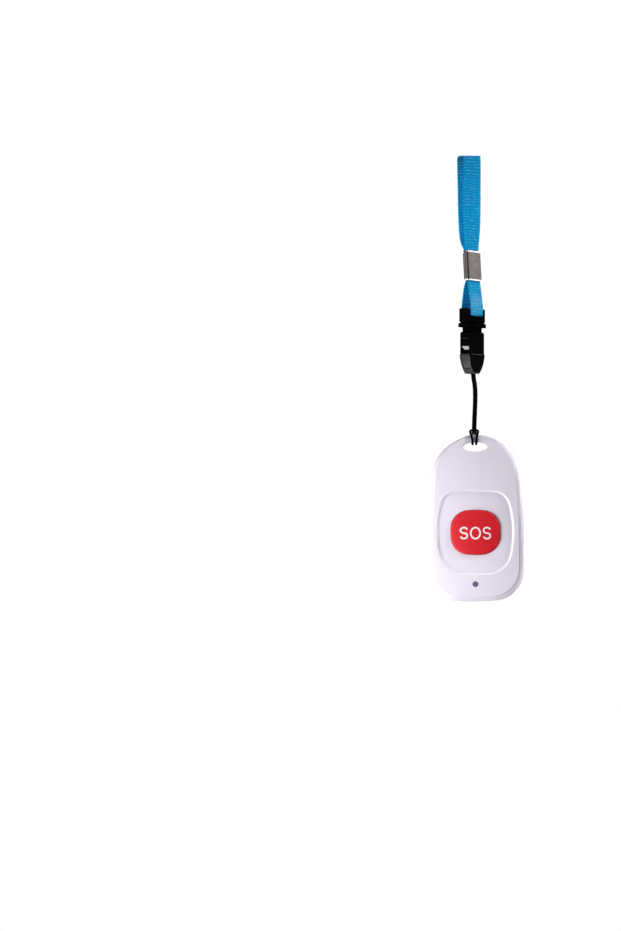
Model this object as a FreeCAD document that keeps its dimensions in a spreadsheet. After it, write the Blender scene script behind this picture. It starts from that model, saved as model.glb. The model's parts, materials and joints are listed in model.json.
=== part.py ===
import FreeCAD, Part
import math
import os
import re
import Sketcher

# Wireless panic button worn on a lanyard, in millimetres.
# The frame is the hanging pendant's own: +Z up, front along -Y, +X to the wearer's left,
# origin at the top fold of the ribbon, midway between its two layers.

Vector = FreeCAD.Vector
doc = FreeCAD.newDocument("PanicPendant")
sheet = doc.addObject("Spreadsheet::Sheet", "Sizes")

SIZES = {
    # how far a cutting outline runs past its cut, and how deep a boss or rib starts in its wall
    "margin": 1.0,
    "root": 0.2,
    # case outline, seen from the front; a drop is measured down from the case's highest point
    "case_height": 70.0,
    "half_width": 20.6,
    "widest_drop": 48.7,
    "top_narrowing": 2.1,
    "corner_radius": 13.2,
    "bottom_radius": 100.0,
    # raised front face inside the rim
    "rim_top": 1.1,
    "rim_side": 2.3,
    "rim_bottom": 1.8,
    "face_narrowing": 1.3,
    "face_corner_radius": 11.4,
    "rim_step": 0.6,
    "rim_round": 2.0,
    "face_round": 0.4,
    # depths from the parting plane, and the slopes that thin the case towards the lanyard hole
    "front_depth": 7.25,
    "front_slope_drop": 22.0,
    "front_slope_radius": 60.0,
    "rear_slope_drop": 18.0,
    "rear_slope_radius": 50.0,
    "rear_round": 2.6,
    # walls, cavity and the lip that locates one shell in the other
    "side_wall": 1.8,
    "front_wall": 2.0,
    "rear_wall": 1.8,
    "cavity_drop": 11.0,
    "lip_thickness": 0.75,
    "lip_height": 0.8,
    "lip_gap": 0.1,
    # lanyard hole
    "hole_drop": 5.15,
    "hole_half_width": 5.1,
    "hole_half_height": 1.95,
    "hole_end_radius": 1.2,
    "hole_round": 0.4,
    # recessed panel round the button
    "button_rise": 29.0,
    "panel_border": 2.4,
    "panel_half_height": 17.5,
    "panel_side_radius": 43.0,
    "panel_top_radius": 110.0,
    "panel_bottom_radius": 60.0,
    "panel_top_corner": 7.2,
    "panel_bottom_corner": 10.0,
    "panel_depth": 0.9,
    "panel_draft": 35.0,
    "panel_round": 0.7,
    # push button
    "button_half_width": 10.3,
    "button_half_height": 9.3,
    "button_side_radius": 40.0,
    "button_flat_radius": 30.0,
    "button_corner_radius": 7.4,
    "button_proud": 0.65,
    "button_dome_radius": 75.0,
    "button_round": 0.7,
    "button_gap": 0.2,
    "button_wall": 1.2,
    "flange_width": 1.0,
    "flange_thickness": 0.8,
    "flange_gap": 0.1,
    "collar_wall": 0.8,
    "collar_depth": 1.9,
    "post_radius": 2.1,
    # circuit board and what stands on it
    "board_thickness": 1.0,
    "board_gap": 0.4,
    "switch_side": 6.0,
    "switch_height": 3.0,
    "switch_chamfer": 0.5,
    "switch_bore_radius": 2.3,
    "switch_bore_depth": 1.2,
    "terminal_width": 0.8,
    "terminal_length": 1.1,
    "terminal_inset": 1.2,
    "terminal_thickness": 0.2,
    "cover_thickness": 0.2,
    "cover_inset": 0.1,
    "cover_hole_radius": 1.9,
    "plunger_radius": 1.75,
    "plunger_collar_radius": 2.15,
    "plunger_collar": 0.5,
    "plunger_gap": 0.05,
    "plunger_proud": 0.75,
    "plunger_chamfer": 0.2,
    "led_rise": 7.3,
    "led_radius": 1.2,
    "led_gap": 0.05,
    "lens_collar_radius": 1.9,
    "lens_collar": 0.8,
    "lens_sunk": 0.1,
    "lens_edge": 0.2,
    "lens_dome_radius": 3.7,
    "lens_stem": 1.6,
    "led_chip_length": 2.0,
    "led_chip_width": 1.25,
    "led_chip_height": 0.8,
    "led_window_length": 1.3,
    "led_window_width": 1.15,
    "chip_length": 4.9,
    "chip_width": 3.9,
    "chip_height": 1.5,
    "chip_standoff": 0.15,
    "chip_chamfer": 0.3,
    "chip_gap": 3.55,
    "lead_pitch": 1.27,
    "lead_width": 0.42,
    "lead_length": 1.0,
    "lead_thickness": 0.2,
    "can_length": 10.2,
    "can_width": 3.8,
    "can_height": 2.5,
    "can_flange": 0.5,
    "can_gap": 1.3,
    "transistor_x": 8.5,
    "transistor_drop": 25.0,
    "transistor_length": 2.9,
    "transistor_width": 1.3,
    "transistor_height": 1.0,
    "transistor_standoff": 0.1,
    "transistor_pitch": 1.9,
    "transistor_lead": 0.6,
    "capacitor_length": 2.0,
    "capacitor_width": 1.25,
    "capacitor_height": 0.8,
    "capacitor_pitch": 2.4,
    "capacitor_x": 11.2,
    "antenna_span": 24.0,
    "antenna_rise": 3.0,
    "antenna_wire": 0.8,
    "antenna_bend": 1.6,
    "antenna_drop": 20.5,
    # coin cell and its contacts
    "cell_radius": 10.0,
    "cell_thickness": 3.2,
    "cell_drop": 38.0,
    "cell_cap_radius": 8.8,
    "cell_cap_height": 0.3,
    "cell_round": 0.4,
    "cell_gap": 0.5,
    "cell_clearance": 0.55,
    "contact_thickness": 0.3,
    "contact_width": 5.0,
    "contact_gap": 0.4,
    "contact_foot": 2.4,
    "spring_length": 11.0,
    "spring_width": 4.0,
    "spring_thickness": 0.2,
    "spring_crest": 1.0,
    "spring_lean": 0.1,
    # case screws
    "screw_top_drop": 14.6,
    "screw_low_rise": 11.2,
    "screw_low_inset": 6.8,
    "screw_radius": 1.0,
    "screw_length": 7.8,
    "screw_head_radius": 1.8,
    "screw_head_height": 1.4,
    "post_height": 3.2,
    "screw_gap": 0.02,
    "screw_head_side": 0.84,
    "screw_crown_radius": 4.0,
    "screw_point": 0.8,
    "screw_cross": 1.1,
    "screw_slot": 0.5,
    "screw_slot_depth": 0.8,
    "boss_radius": 2.4,
    "counterbore_radius": 2.1,
    "clearance_radius": 1.15,
    "pilot_gap": 0.4,
    # lanyard: the ribbon, its crimp and the release buckle hang turned about the vertical
    "hardware_turn": 60.0,
    "ribbon_width": 10.0,
    "ribbon_thickness": 0.6,
    "ribbon_play": 0.05,
    "ribbon_gap": 0.03,
    "ribbon_lead": 0.3,
    "ribbon_lean": 1.6,
    "ribbon_spread": 1.6,
    "ribbon_top_bend": 1.4,
    "shoulder_rise": 3.6,
    "shoulder_lean": 1.3,
    "shoulder_spread": 1.15,
    "shoulder_bend": 6.0,
    "pinch_bend": 5.0,
    "low_pinch_bend": 3.0,
    "low_shoulder_drop": 2.1,
    "low_shoulder_spread": 1.15,
    "low_shoulder_bend": 5.0,
    "low_spread_drop": 9.6,
    "low_spread_bend": 10.0,
    "crimp_drop": 40.4,
    "crimp_height": 12.5,
    "crimp_width": 11.2,
    "crimp_depth": 2.6,
    "crimp_wall": 0.4,
    "crimp_round": 0.6,
    "crimp_lean": 3.4,
    "seam_width": 0.35,
    # buckle, upper half
    "plug_drop": 64.7,
    "plug_half_width": 6.7,
    "plug_depth": 4.8,
    "post_width": 1.4,
    "bar_drop": 0.5,
    "bar_height": 2.2,
    "bar_depth": 3.6,
    "bar_round": 0.8,
    "ribbon_slot": 0.8,
    "head_base": 2.2,
    "head_round": 0.3,
    "groove_height": 0.45,
    "groove_inset": 0.3,
    "flare_height": 1.8,
    "flare_width": 0.35,
    "flare_edge": 0.5,
    "flare_chamfer": 0.3,
    "neck_half_width": 5.1,
    "neck_depth": 3.5,
    "neck_height": 1.9,
    "neck_entry": 1.5,
    "arm_thickness": 1.3,
    "arm_depth": 3.3,
    "arm_length": 8.5,
    "arm_gap": 0.35,
    "lug_drop": 3.5,
    "lug_proud": 1.15,
    "lug_ramp": 2.4,
    "lug_tip": 0.3,
    "tongue_width": 2.4,
    "tongue_depth": 2.4,
    "tongue_length": 6.3,
    "tongue_chamfer": 0.8,
    # buckle, lower half
    "mouth_gap": 0.1,
    "side_wall_width": 0.8,
    "face_wall": 0.65,
    "shoulder": 0.8,
    "latch_play": 0.6,
    "window_gap": 0.2,
    "arm_end_gap": 0.5,
    "sill": 0.4,
    "tip_half_width": 6.2,
    "tip_depth": 5.3,
    "tip_height": 8.1,
    "tip_radius": 10.6,
    "tip_taper": 0.45,
    "taper_start": 0.6,
    "socket_round": 0.35,
    "grip_start": 1.2,
    "grip_inset": 0.35,
    "grip_height": 4.9,
    "grip_depth": 3.5,
    "cord_hole_radius": 1.35,
    "cord_hole_depth": 6.0,
    # thin cord between the buckle and the case
    "cord_diameter": 0.9,
    "case_shift": 1.35,
    "case_drop": 117.8,
}

# Sizes and places that follow from those: drops from the case's top, depths from its parting plane
DERIVED = {
    "top_radius": "(half_width - top_narrowing)",
    "face_half_width": "(half_width - rim_side)",
    "face_top_radius": "(face_half_width - face_narrowing)",
    "panel_half_width": "(face_half_width - panel_border)",
    "button_drop": "(case_height - button_rise)",
    "led_drop": "(case_height - led_rise)",
    "screw_low_drop": "(case_height - screw_low_rise)",
    "screw_low_x": "(half_width - screw_low_inset)",
    "flange_low": "(front_depth - front_wall - flange_gap - flange_thickness)",
    "board_front": "(flange_low - plunger_proud - switch_height)",
    "board_back": "(board_thickness - board_front)",
    "cell_back": "(board_back + cell_gap + cell_thickness)",
    "rear_depth": "(cell_back + contact_thickness + cell_clearance + rear_wall)",
    "screw_seat": "(board_back + post_height)",
    "pilot_depth": "(screw_length - screw_seat - board_front + pilot_gap)",
    "collar_inner": "(flange_width + button_gap)",
    "collar_drop": "(button_drop + button_half_height + collar_inner + collar_wall)",
    "can_drop": "(collar_drop + can_gap + can_width / 2 + can_flange)",
    "chip_x": "(switch_side / 2 + terminal_length + chip_gap + lead_length + chip_width / 2)",
    "contact_reach": "(cell_radius + contact_gap)",
    "bar_low": "(-plug_drop - bar_drop - bar_height)",
    "base_top": "(bar_low - ribbon_slot)",
    "base_low": "(base_top - head_base)",
    "groove_low": "(base_low - groove_height)",
    "flare_low": "(groove_low - flare_height)",
    "socket_top": "(flare_low - neck_height)",
    "neck_low": "(socket_top - neck_entry)",
    "lug_top": "(socket_top - lug_drop)",
    "arm_low": "(socket_top - arm_length)",
    "window_low": "(arm_low - arm_end_gap)",
    "step": "(window_low - sill)",
    "socket_low": "(step - tip_height)",
}

for row, (alias, size) in enumerate(SIZES.items(), start=1):
    sheet.set(f"A{row}", str(size))
    sheet.setAlias(f"A{row}", alias)
doc.recompute()


def bind(text):
    """Expression text with derived names written out and each size's name pointed at the sheet."""

    def spelled_out(word):
        name = word[0]
        if name in DERIVED:
            return bind(DERIVED[name])
        return "Sizes." + name if name in SIZES else name

    return re.sub(r"[a-z_]+", spelled_out, text)


def value(text):
    return float(sheet.evalExpression(bind(text)))


# Features

def new_body(label, case=False, hardware=False):
    """A body in the case's frame, in the turned frame of the hardware, or in the part's own."""
    body = doc.addObject("PartDesign::Body", label)
    body.Label = label
    if case:
        body.setExpression("Placement.Base.x", bind("case_shift"))
        body.setExpression("Placement.Base.z", bind("-case_drop"))
    if hardware:
        turn = FreeCAD.Rotation(Vector(0, 0, 1), value("hardware_turn"))
        body.Placement = FreeCAD.Placement(Vector(), turn)
        body.setExpression("Placement.Rotation.Angle", bind("hardware_turn"))
    return body


def extrude(body, kind, name, drawing, length, side="One side", flip=False):
    """A pad or pocket of a drawing; its volume tells whether it went the right way."""
    doc.recompute()
    before = body.Shape.Volume if body.Tip else 0.0
    feature = body.newObject("PartDesign::" + kind, name)
    feature.Profile = drawing.sketch
    feature.SideType = side
    feature.Reversed = flip
    feature.setExpression("Length", bind(length))
    doc.recompute()
    if abs(feature.Shape.Volume - before) < 1e-6:
        raise ValueError(f"{name} changes nothing")
    return feature


def pad(body, name, drawing, length, side="One side", flip=False):
    return extrude(body, "Pad", name, drawing, length, side, flip)


def pocket(body, name, drawing, length, side="One side", flip=False):
    return extrude(body, "Pocket", name, drawing, length, side, flip)


def turned(body, kind, name, drawing, axis="H_Axis"):
    """A full revolution or groove of a drawing about one of its own axes."""
    feature = body.newObject("PartDesign::" + kind, name)
    feature.Profile = drawing.sketch
    feature.ReferenceAxis = (drawing.sketch, [axis])
    feature.Angle = 360.0
    doc.recompute()
    return feature


# An edge counts as the border of a face by the cosines of its two faces' normals with the view
FACING = 0.7
ACROSS = 0.6
NUDGE = 0.02
CLOSE = 0.01


def outward(face, point):
    return face.normalAt(*face.Surface.parameter(point))


def edge_names(shape, direction, convex, keep):
    """Names of the edges where a face looking along direction meets a wall standing across it."""
    names = []
    for number, edge in enumerate(shape.Edges, start=1):
        point = edge.valueAt((edge.FirstParameter + edge.LastParameter) / 2)
        faces = shape.ancestorsOfType(edge, Part.Face)
        if len(faces) != 2 or not keep(point):
            continue
        first, second = sorted((outward(face, point) for face in faces), key=lambda n: -n.dot(direction))
        if first.dot(direction) < FACING or abs(second.dot(direction)) > ACROSS:
            continue
        probe = point + (second - first) * NUDGE
        if shape.isInside(probe, 1e-4, True) != convex:
            names.append(f"Edge{number}")
    return names


def soften(body, kind, name, size, names):
    """A fillet or chamfer on the named edges of the body's last feature."""
    base = body.Tip
    feature = body.newObject("PartDesign::" + kind, name)
    feature.Base = (base, names)
    feature.setExpression("Radius" if kind == "Fillet" else "Size", bind(size))
    doc.recompute()
    return feature


def anywhere(point):
    return True


FRONT = Vector(0, -1, 0)
REAR = Vector(0, 1, 0)
UP = Vector(0, 0, 1)
DOWN = Vector(0, 0, -1)


# Outlines

def toward(start, end, reach):
    """Point at a distance from start on the way to end and beyond."""
    span = math.hypot(end[0] - start[0], end[1] - start[1])
    return (start[0] + (end[0] - start[0]) * reach / span, start[1] + (end[1] - start[1]) * reach / span)


def touch(first, second):
    """Point where one arc's circle touches the other from inside."""
    large, small = sorted((first, second), key=lambda arc: -arc["size"])
    return toward(large["centre"], small["centre"], large["size"])


def meet(first, first_size, second, second_size, upward):
    """The right-hand crossing of two circles that lies further up or down."""
    span = math.hypot(second[0] - first[0], second[1] - first[1])
    along = (first_size ** 2 - second_size ** 2 + span ** 2) / (2 * span)
    across = math.sqrt(first_size ** 2 - along ** 2)
    foot = toward(first, second, along)
    step = ((second[1] - first[1]) / span * across, (first[0] - second[0]) / span * across)
    sides = [(foot[0] + step[0], foot[1] + step[1]), (foot[0] - step[0], foot[1] - step[1])]
    return sorted(sides, key=lambda point: point[1])[-1 if upward else 0]


def angle(centre, point):
    return math.atan2(point[1] - centre[1], point[0] - centre[0])


class Drawing:
    """A sketch on one of its body's planes, with its sizes bound to the sheet."""

    def __init__(self, body, name, role, offset="0"):
        self.sketch = body.newObject("Sketcher::SketchObject", name)
        plane = next(part for part in body.Origin.OriginFeatures if part.Role == role)
        self.sketch.AttachmentSupport = [(plane, "")]
        self.sketch.MapMode = "FlatFace"
        self.sketch.setExpression("AttachmentOffset.Base.z", bind(offset))

    def hold(self, kind, *where_and_text):
        *where, text = where_and_text
        index = self.sketch.addConstraint(Sketcher.Constraint(kind, *where, value(text)))
        self.sketch.setExpression(f"Constraints[{index}]", bind(text))

    def put(self, piece, point, x=None, y=None):
        """Hold a point of a piece of geometry at x and y from the origin."""
        for kind, text, axis in (("DistanceX", x, -2), ("DistanceY", y, -1)):
            if text == "0":
                self.sketch.addConstraint(Sketcher.Constraint("PointOnObject", piece, point, axis))
            elif text is not None:
                self.hold(kind, -1, 1, piece, point, text)

    def circle(self, x, y, radius):
        centre = Vector(value(x), value(y), 0)
        piece = self.sketch.addGeometry(Part.Circle(centre, Vector(0, 0, 1), value(radius)), False)
        self.put(piece, 3, x, y)
        self.hold("Radius", piece, radius)

    def arc(self, centre, radius, start, end):
        """Counter-clockwise arc between two points."""
        low = angle(centre, start)
        high = angle(centre, end)
        circle = Part.Circle(Vector(centre[0], centre[1], 0), Vector(0, 0, 1), radius)
        return self.sketch.addGeometry(
            Part.ArcOfCircle(circle, low, high if high > low else high + 2 * math.pi), False
        )

    def line(self, start, end):
        return self.sketch.addGeometry(Part.LineSegment(Vector(*start, 0), Vector(*end, 0)), False)

    def join(self, first, second, first_point=2, second_point=1, kind="Coincident"):
        self.sketch.addConstraint(Sketcher.Constraint(kind, first, first_point, second, second_point))

    def ring(self, arcs, chord=None):
        """Closed counter-clockwise chain of tangent arcs; a chord may close it across the top."""
        joints = [touch(before, after) for before, after in zip(arcs, arcs[1:])]
        if chord:
            level = value(chord)
            centre = arcs[0]["centre"]
            reach = math.sqrt(arcs[0]["size"] ** 2 - (level - centre[1]) ** 2)
            joints.insert(0, (-reach, level))
            closing = (reach, level)
        else:
            joints.insert(0, touch(arcs[-1], arcs[0]))
        pieces = []
        for index, arc in enumerate(arcs):
            last = index == len(arcs) - 1
            end = closing if chord and last else joints[(index + 1) % len(arcs)]
            pieces.append(self.arc(arc["centre"], arc["size"], joints[index], end))
            self.put(pieces[-1], 3, arc.get("x"), arc.get("y"))
            self.hold("Radius", pieces[-1], arc["radius"])
        for first, second in zip(pieces, pieces[1:]):
            self.join(first, second, kind="Tangent")
        if chord:
            piece = self.line(closing, joints[0])
            self.join(pieces[-1], piece)
            self.join(piece, pieces[0])
            self.sketch.addConstraint(Sketcher.Constraint("Horizontal", piece))
            self.put(piece, 1, y=chord)
        else:
            self.join(pieces[-1], pieces[0], kind="Tangent")

    def polygon(self, corners):
        """Closed outline; a third item is the radius of an arc to the next corner, curving
        left if it starts with a plus and right if it starts with a minus."""
        spots = [(value(corner[0]), value(corner[1])) for corner in corners]
        pieces = []
        for index, corner in enumerate(corners):
            start = spots[index]
            end = spots[(index + 1) % len(spots)]
            if len(corner) == 2:
                pieces.append((self.line(start, end), 1, 2))
                continue
            radius = value(corner[2][1:])
            left = 1 if corner[2][0] == "+" else -1
            half = math.dist(start, end) / 2
            reach = math.sqrt(radius ** 2 - half ** 2) * left / (2 * half)
            centre = (
                (start[0] + end[0]) / 2 - (end[1] - start[1]) * reach,
                (start[1] + end[1]) / 2 + (end[0] - start[0]) * reach,
            )
            ends = (start, end) if left == 1 else (end, start)
            pieces.append((self.arc(centre, radius, *ends), 1 if left == 1 else 2, 2 if left == 1 else 1))
            self.hold("Radius", pieces[-1][0], corner[2][1:])
        for index, corner in enumerate(corners):
            piece, start, _ = pieces[index]
            before, _, end = pieces[index - 1]
            self.join(before, piece, end, start)
            self.put(piece, start, corner[0], corner[1])

    def box(self, left, right, low, high):
        self.polygon([(left, low), (right, low), (right, high), (left, high)])


CASE = {
    "top": "0",
    "top_radius": "top_radius",
    "half_width": "half_width",
    "corner": "corner_radius",
    "bottom": "case_height",
    "bottom_radius": "bottom_radius",
}
FACE = {
    "top": "rim_top",
    "top_radius": "face_top_radius",
    "half_width": "face_half_width",
    "corner": "face_corner_radius",
    "bottom": "(case_height - rim_bottom)",
    "bottom_radius": "(bottom_radius - rim_bottom)",
}


def egg(drawing, shape, inset="0", chord=None):
    """Egg of six tangent arcs, or seven and a chord, drawn in by inset."""
    top_y = f"-({shape['top']} + {shape['top_radius']})"
    rise = f"(widest_drop + ({top_y}))"
    side = (
        f"(({shape['half_width']}^2 + {rise}^2 - {shape['top_radius']}^2)"
        f" / (2 * ({shape['half_width']} - {shape['top_radius']})))"
    )
    bottom_y = f"-{shape['bottom']} + {shape['bottom_radius']}"
    corner = value(shape["corner"])
    side_size = value(side)
    side_centre = (value(shape["half_width"]) - side_size, value("-widest_drop"))
    bottom_centre = (0.0, value(bottom_y))
    corner_centre = meet(
        side_centre, side_size - corner, bottom_centre, value(shape["bottom_radius"]) - corner, False
    )

    def arc(centre, radius, **place):
        text = f"{radius} - ({inset})"
        return {"centre": centre, "radius": text, "size": value(text), **place}

    def mirrored(centre):
        return (-centre[0], centre[1])

    top = arc((0.0, value(top_y)), shape["top_radius"], x="0", y=top_y)
    arcs = [
        top,
        arc(mirrored(side_centre), side, y="-widest_drop"),
        arc(mirrored(corner_centre), shape["corner"]),
        arc(bottom_centre, shape["bottom_radius"], x="0", y=bottom_y),
        arc(corner_centre, shape["corner"]),
        arc(side_centre, side, y="-widest_drop"),
    ]
    drawing.ring(arcs + [top] if chord else arcs, chord)


def cushion(drawing, name, middle, grow="0"):
    """Rounded four-sided outline of eight tangent arcs, with its centre a drop below the top."""
    half_width = f"{name}_half_width"
    half_height = f"{name}_half_height"
    side = f"{name}_side_radius"
    top = f"{name}_top_radius" if f"{name}_top_radius" in SIZES else f"{name}_flat_radius"
    bottom = f"{name}_bottom_radius" if f"{name}_bottom_radius" in SIZES else top
    high_corner = f"{name}_top_corner" if f"{name}_top_corner" in SIZES else f"{name}_corner_radius"
    low_corner = f"{name}_bottom_corner" if f"{name}_bottom_corner" in SIZES else high_corner
    side_x = f"{half_width} - {side}"
    top_y = f"-{middle} + {half_height} - {top}"
    bottom_y = f"-{middle} - {half_height} + {bottom}"
    side_centre = (value(side_x), value(f"-{middle}"))
    top_centre = (0.0, value(top_y))
    bottom_centre = (0.0, value(bottom_y))

    def corner_centre(end, radius, corner, upward):
        return meet(side_centre, value(f"{side} - {corner}"), end, value(f"{radius} - {corner}"), upward)

    high = corner_centre(top_centre, top, high_corner, True)
    low = corner_centre(bottom_centre, bottom, low_corner, False)

    def arc(centre, radius, **place):
        text = f"{radius} + ({grow})"
        return {"centre": centre, "radius": text, "size": value(text), **place}

    drawing.ring([
        arc(top_centre, top, x="0", y=top_y),
        arc((-high[0], high[1]), high_corner),
        arc((-side_centre[0], side_centre[1]), side, x=f"-({side_x})", y=f"-{middle}"),
        arc((-low[0], low[1]), low_corner),
        arc(bottom_centre, bottom, x="0", y=bottom_y),
        arc(low, low_corner),
        arc(side_centre, side, x=side_x, y=f"-{middle}"),
        arc(high, high_corner),
    ])


def oval(drawing, middle, half_width, half_height, end_radius):
    """Lens of two flat arcs joined by two small ends, with its centre at a level."""
    reach = f"({half_width} - {end_radius})"
    flat = (
        f"(({reach}^2 + {half_height}^2 - {end_radius}^2)"
        f" / (2 * ({half_height} - {end_radius})))"
    )
    top_y = f"{middle} + {half_height} - {flat}"
    bottom_y = f"{middle} - {half_height} + {flat}"
    end = {"radius": end_radius, "size": value(end_radius)}
    flat_arc = {"radius": flat, "size": value(flat), "x": "0"}
    drawing.ring([
        {"centre": (0.0, value(top_y)), "y": top_y, **flat_arc},
        {"centre": (value(f"-{reach}"), value(middle)), **end},
        {"centre": (0.0, value(bottom_y)), "y": bottom_y, **flat_arc},
        {"centre": (value(reach), value(middle)), **end},
    ])


SCREWS = [
    ("0", "-screw_top_drop"),
    ("-screw_low_x", "-screw_low_drop"),
    ("screw_low_x", "-screw_low_drop"),
]


def screw_circles(body, name, offset, radius):
    drawing = Drawing(body, name, "XZ_Plane", offset)
    for x, z in SCREWS:
        drawing.circle(x, z, radius)
    return drawing


def slope(body, name, depth, start, radius, side):
    """Cut a shell's flat face back on an arc towards the top; side is - at the front, + behind."""
    drawing = Drawing(body, name + "_profile", "YZ_Plane")
    end = f"{side}({depth} - {radius} + sqrt({radius}^2 - ({start} + margin)^2))"
    drawing.polygon([
        (f"{side}({depth})", f"-{start}", ("-" if side == "-" else "+") + radius),
        (end, "margin"),
        (f"{side}({depth} + margin)", "margin"),
        (f"{side}({depth} + margin)", f"-{start}"),
    ])
    return pocket(body, name, drawing, "2 * (half_width + margin)", "Symmetric")


def lanyard_hole(body, direction):
    """Oval hole through a shell, with its outer edge rounded."""
    drawing = Drawing(body, "lanyard_hole_outline", "XZ_Plane")
    oval(drawing, "-hole_drop", "hole_half_width", "hole_half_height", "hole_end_radius")
    pocket(body, "lanyard_hole", drawing, "2 * (front_depth + margin)", "Symmetric")

    def near_hole(point):
        across = abs(point.x) < value("hole_half_width + margin")
        return across and point.z > value("-hole_drop - hole_half_height - margin")

    names = edge_names(body.Tip.Shape, direction, True, near_hole)
    soften(body, "Fillet", "lanyard_hole_round", "hole_round", names)


# Case

def front_shell():
    """Front moulding: rim, raised face, sunk panel, button opening, collar, bosses and rebate."""
    body = new_body("front_shell", case=True)
    outline = Drawing(body, "case_outline", "XZ_Plane")
    egg(outline, CASE)
    pad(body, "rim", outline, "front_depth - rim_step")
    slope(body, "rim_slope", "front_depth - rim_step", "front_slope_drop", "front_slope_radius", "-")
    soften(body, "Fillet", "rim_edge", "rim_round", edge_names(body.Tip.Shape, FRONT, True, anywhere))

    face = Drawing(body, "face_outline", "XZ_Plane", "root")
    egg(face, FACE)
    pad(body, "face", face, "front_depth - root")
    slope(body, "face_slope", "front_depth", "front_slope_drop", "front_slope_radius", "-")
    soften(body, "Fillet", "face_edge", "face_round", edge_names(body.Tip.Shape, FRONT, True, anywhere))

    panel = Drawing(body, "panel_outline", "XZ_Plane", "front_depth - panel_depth")
    cushion(panel, "panel", "button_drop", "-panel_depth / 2 * tan(panel_draft)")
    recess = pocket(body, "panel", panel, "panel_depth + margin", flip=True)
    recess.TaperAngle = value("panel_draft")
    recess.setExpression("TaperAngle", bind("panel_draft"))
    doc.recompute()

    def at_panel_top(point):
        inside = abs(point.x) < value("panel_half_width + panel_border / 2")
        return inside and abs(point.y + value("front_depth")) < CLOSE

    def at_panel_floor(point):
        return abs(point.y + value("front_depth - panel_depth")) < CLOSE

    names = edge_names(body.Tip.Shape, FRONT, True, at_panel_top)
    soften(body, "Fillet", "panel_edge", "panel_round", names)
    names = edge_names(body.Tip.Shape, FRONT, False, at_panel_floor)
    soften(body, "Fillet", "panel_corner", "panel_round", names)

    cavity = Drawing(body, "cavity_outline", "XZ_Plane")
    egg(cavity, CASE, "side_wall", "-cavity_drop")
    pocket(body, "cavity", cavity, "front_depth - front_wall", flip=True)
    rebate = Drawing(body, "rebate_outline", "XZ_Plane")
    egg(rebate, CASE, "side_wall - lip_thickness - lip_gap", "-cavity_drop + lip_thickness + lip_gap")
    pocket(body, "rebate", rebate, "lip_height + lip_gap", flip=True)

    opening = Drawing(body, "button_opening_outline", "XZ_Plane", "front_depth - front_wall - margin")
    cushion(opening, "button", "button_drop", "button_gap")
    pocket(body, "button_opening", opening, "front_wall + margin", flip=True)
    collar = Drawing(body, "collar_outline", "XZ_Plane", "front_depth - front_wall + root")
    cushion(collar, "button", "button_drop", "collar_inner")
    cushion(collar, "button", "button_drop", "collar_inner + collar_wall")
    pad(body, "collar", collar, "collar_depth + root", flip=True)

    bosses = screw_circles(body, "boss_circles", "board_front", "boss_radius")
    pad(body, "bosses", bosses, "front_depth - front_wall - board_front + root")
    pilots = screw_circles(body, "pilot_circles", "board_front", "screw_radius + screw_gap")
    pocket(body, "pilots", pilots, "pilot_depth", flip=True)
    lamp = Drawing(body, "lens_hole_circle", "XZ_Plane")
    lamp.circle("0", "-led_drop", "led_radius + led_gap")
    pocket(body, "lens_hole", lamp, "front_depth", flip=True)
    lanyard_hole(body, FRONT)
    return body


def rear_shell():
    """Rear moulding: flat back that slopes to the hole, lip, screw posts and counterbores."""
    body = new_body("rear_shell", case=True)
    outline = Drawing(body, "case_outline", "XZ_Plane")
    egg(outline, CASE)
    pad(body, "back", outline, "rear_depth", flip=True)
    slope(body, "back_slope", "rear_depth", "rear_slope_drop", "rear_slope_radius", "+")
    soften(body, "Fillet", "back_edge", "rear_round", edge_names(body.Tip.Shape, REAR, True, anywhere))
    cavity = Drawing(body, "cavity_outline", "XZ_Plane")
    egg(cavity, CASE, "side_wall", "-cavity_drop")
    pocket(body, "cavity", cavity, "rear_depth - rear_wall")
    lip = Drawing(body, "lip_outline", "XZ_Plane", "-lip_height")
    egg(lip, CASE, "side_wall - lip_thickness", "-cavity_drop + lip_thickness")
    egg(lip, CASE, "side_wall", "-cavity_drop")
    pad(body, "lip", lip, "2 * lip_height")
    posts = screw_circles(body, "post_circles", "-board_back", "boss_radius")
    pad(body, "posts", posts, "rear_depth - rear_wall - board_back + root", flip=True)
    bores = screw_circles(body, "counterbore_circles", "-screw_seat", "counterbore_radius")
    pocket(body, "counterbores", bores, "rear_depth")
    holes = screw_circles(body, "clearance_circles", "-board_back", "clearance_radius")
    pocket(body, "clearance_holes", holes, "rear_depth")
    lanyard_hole(body, REAR)
    return body


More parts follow.
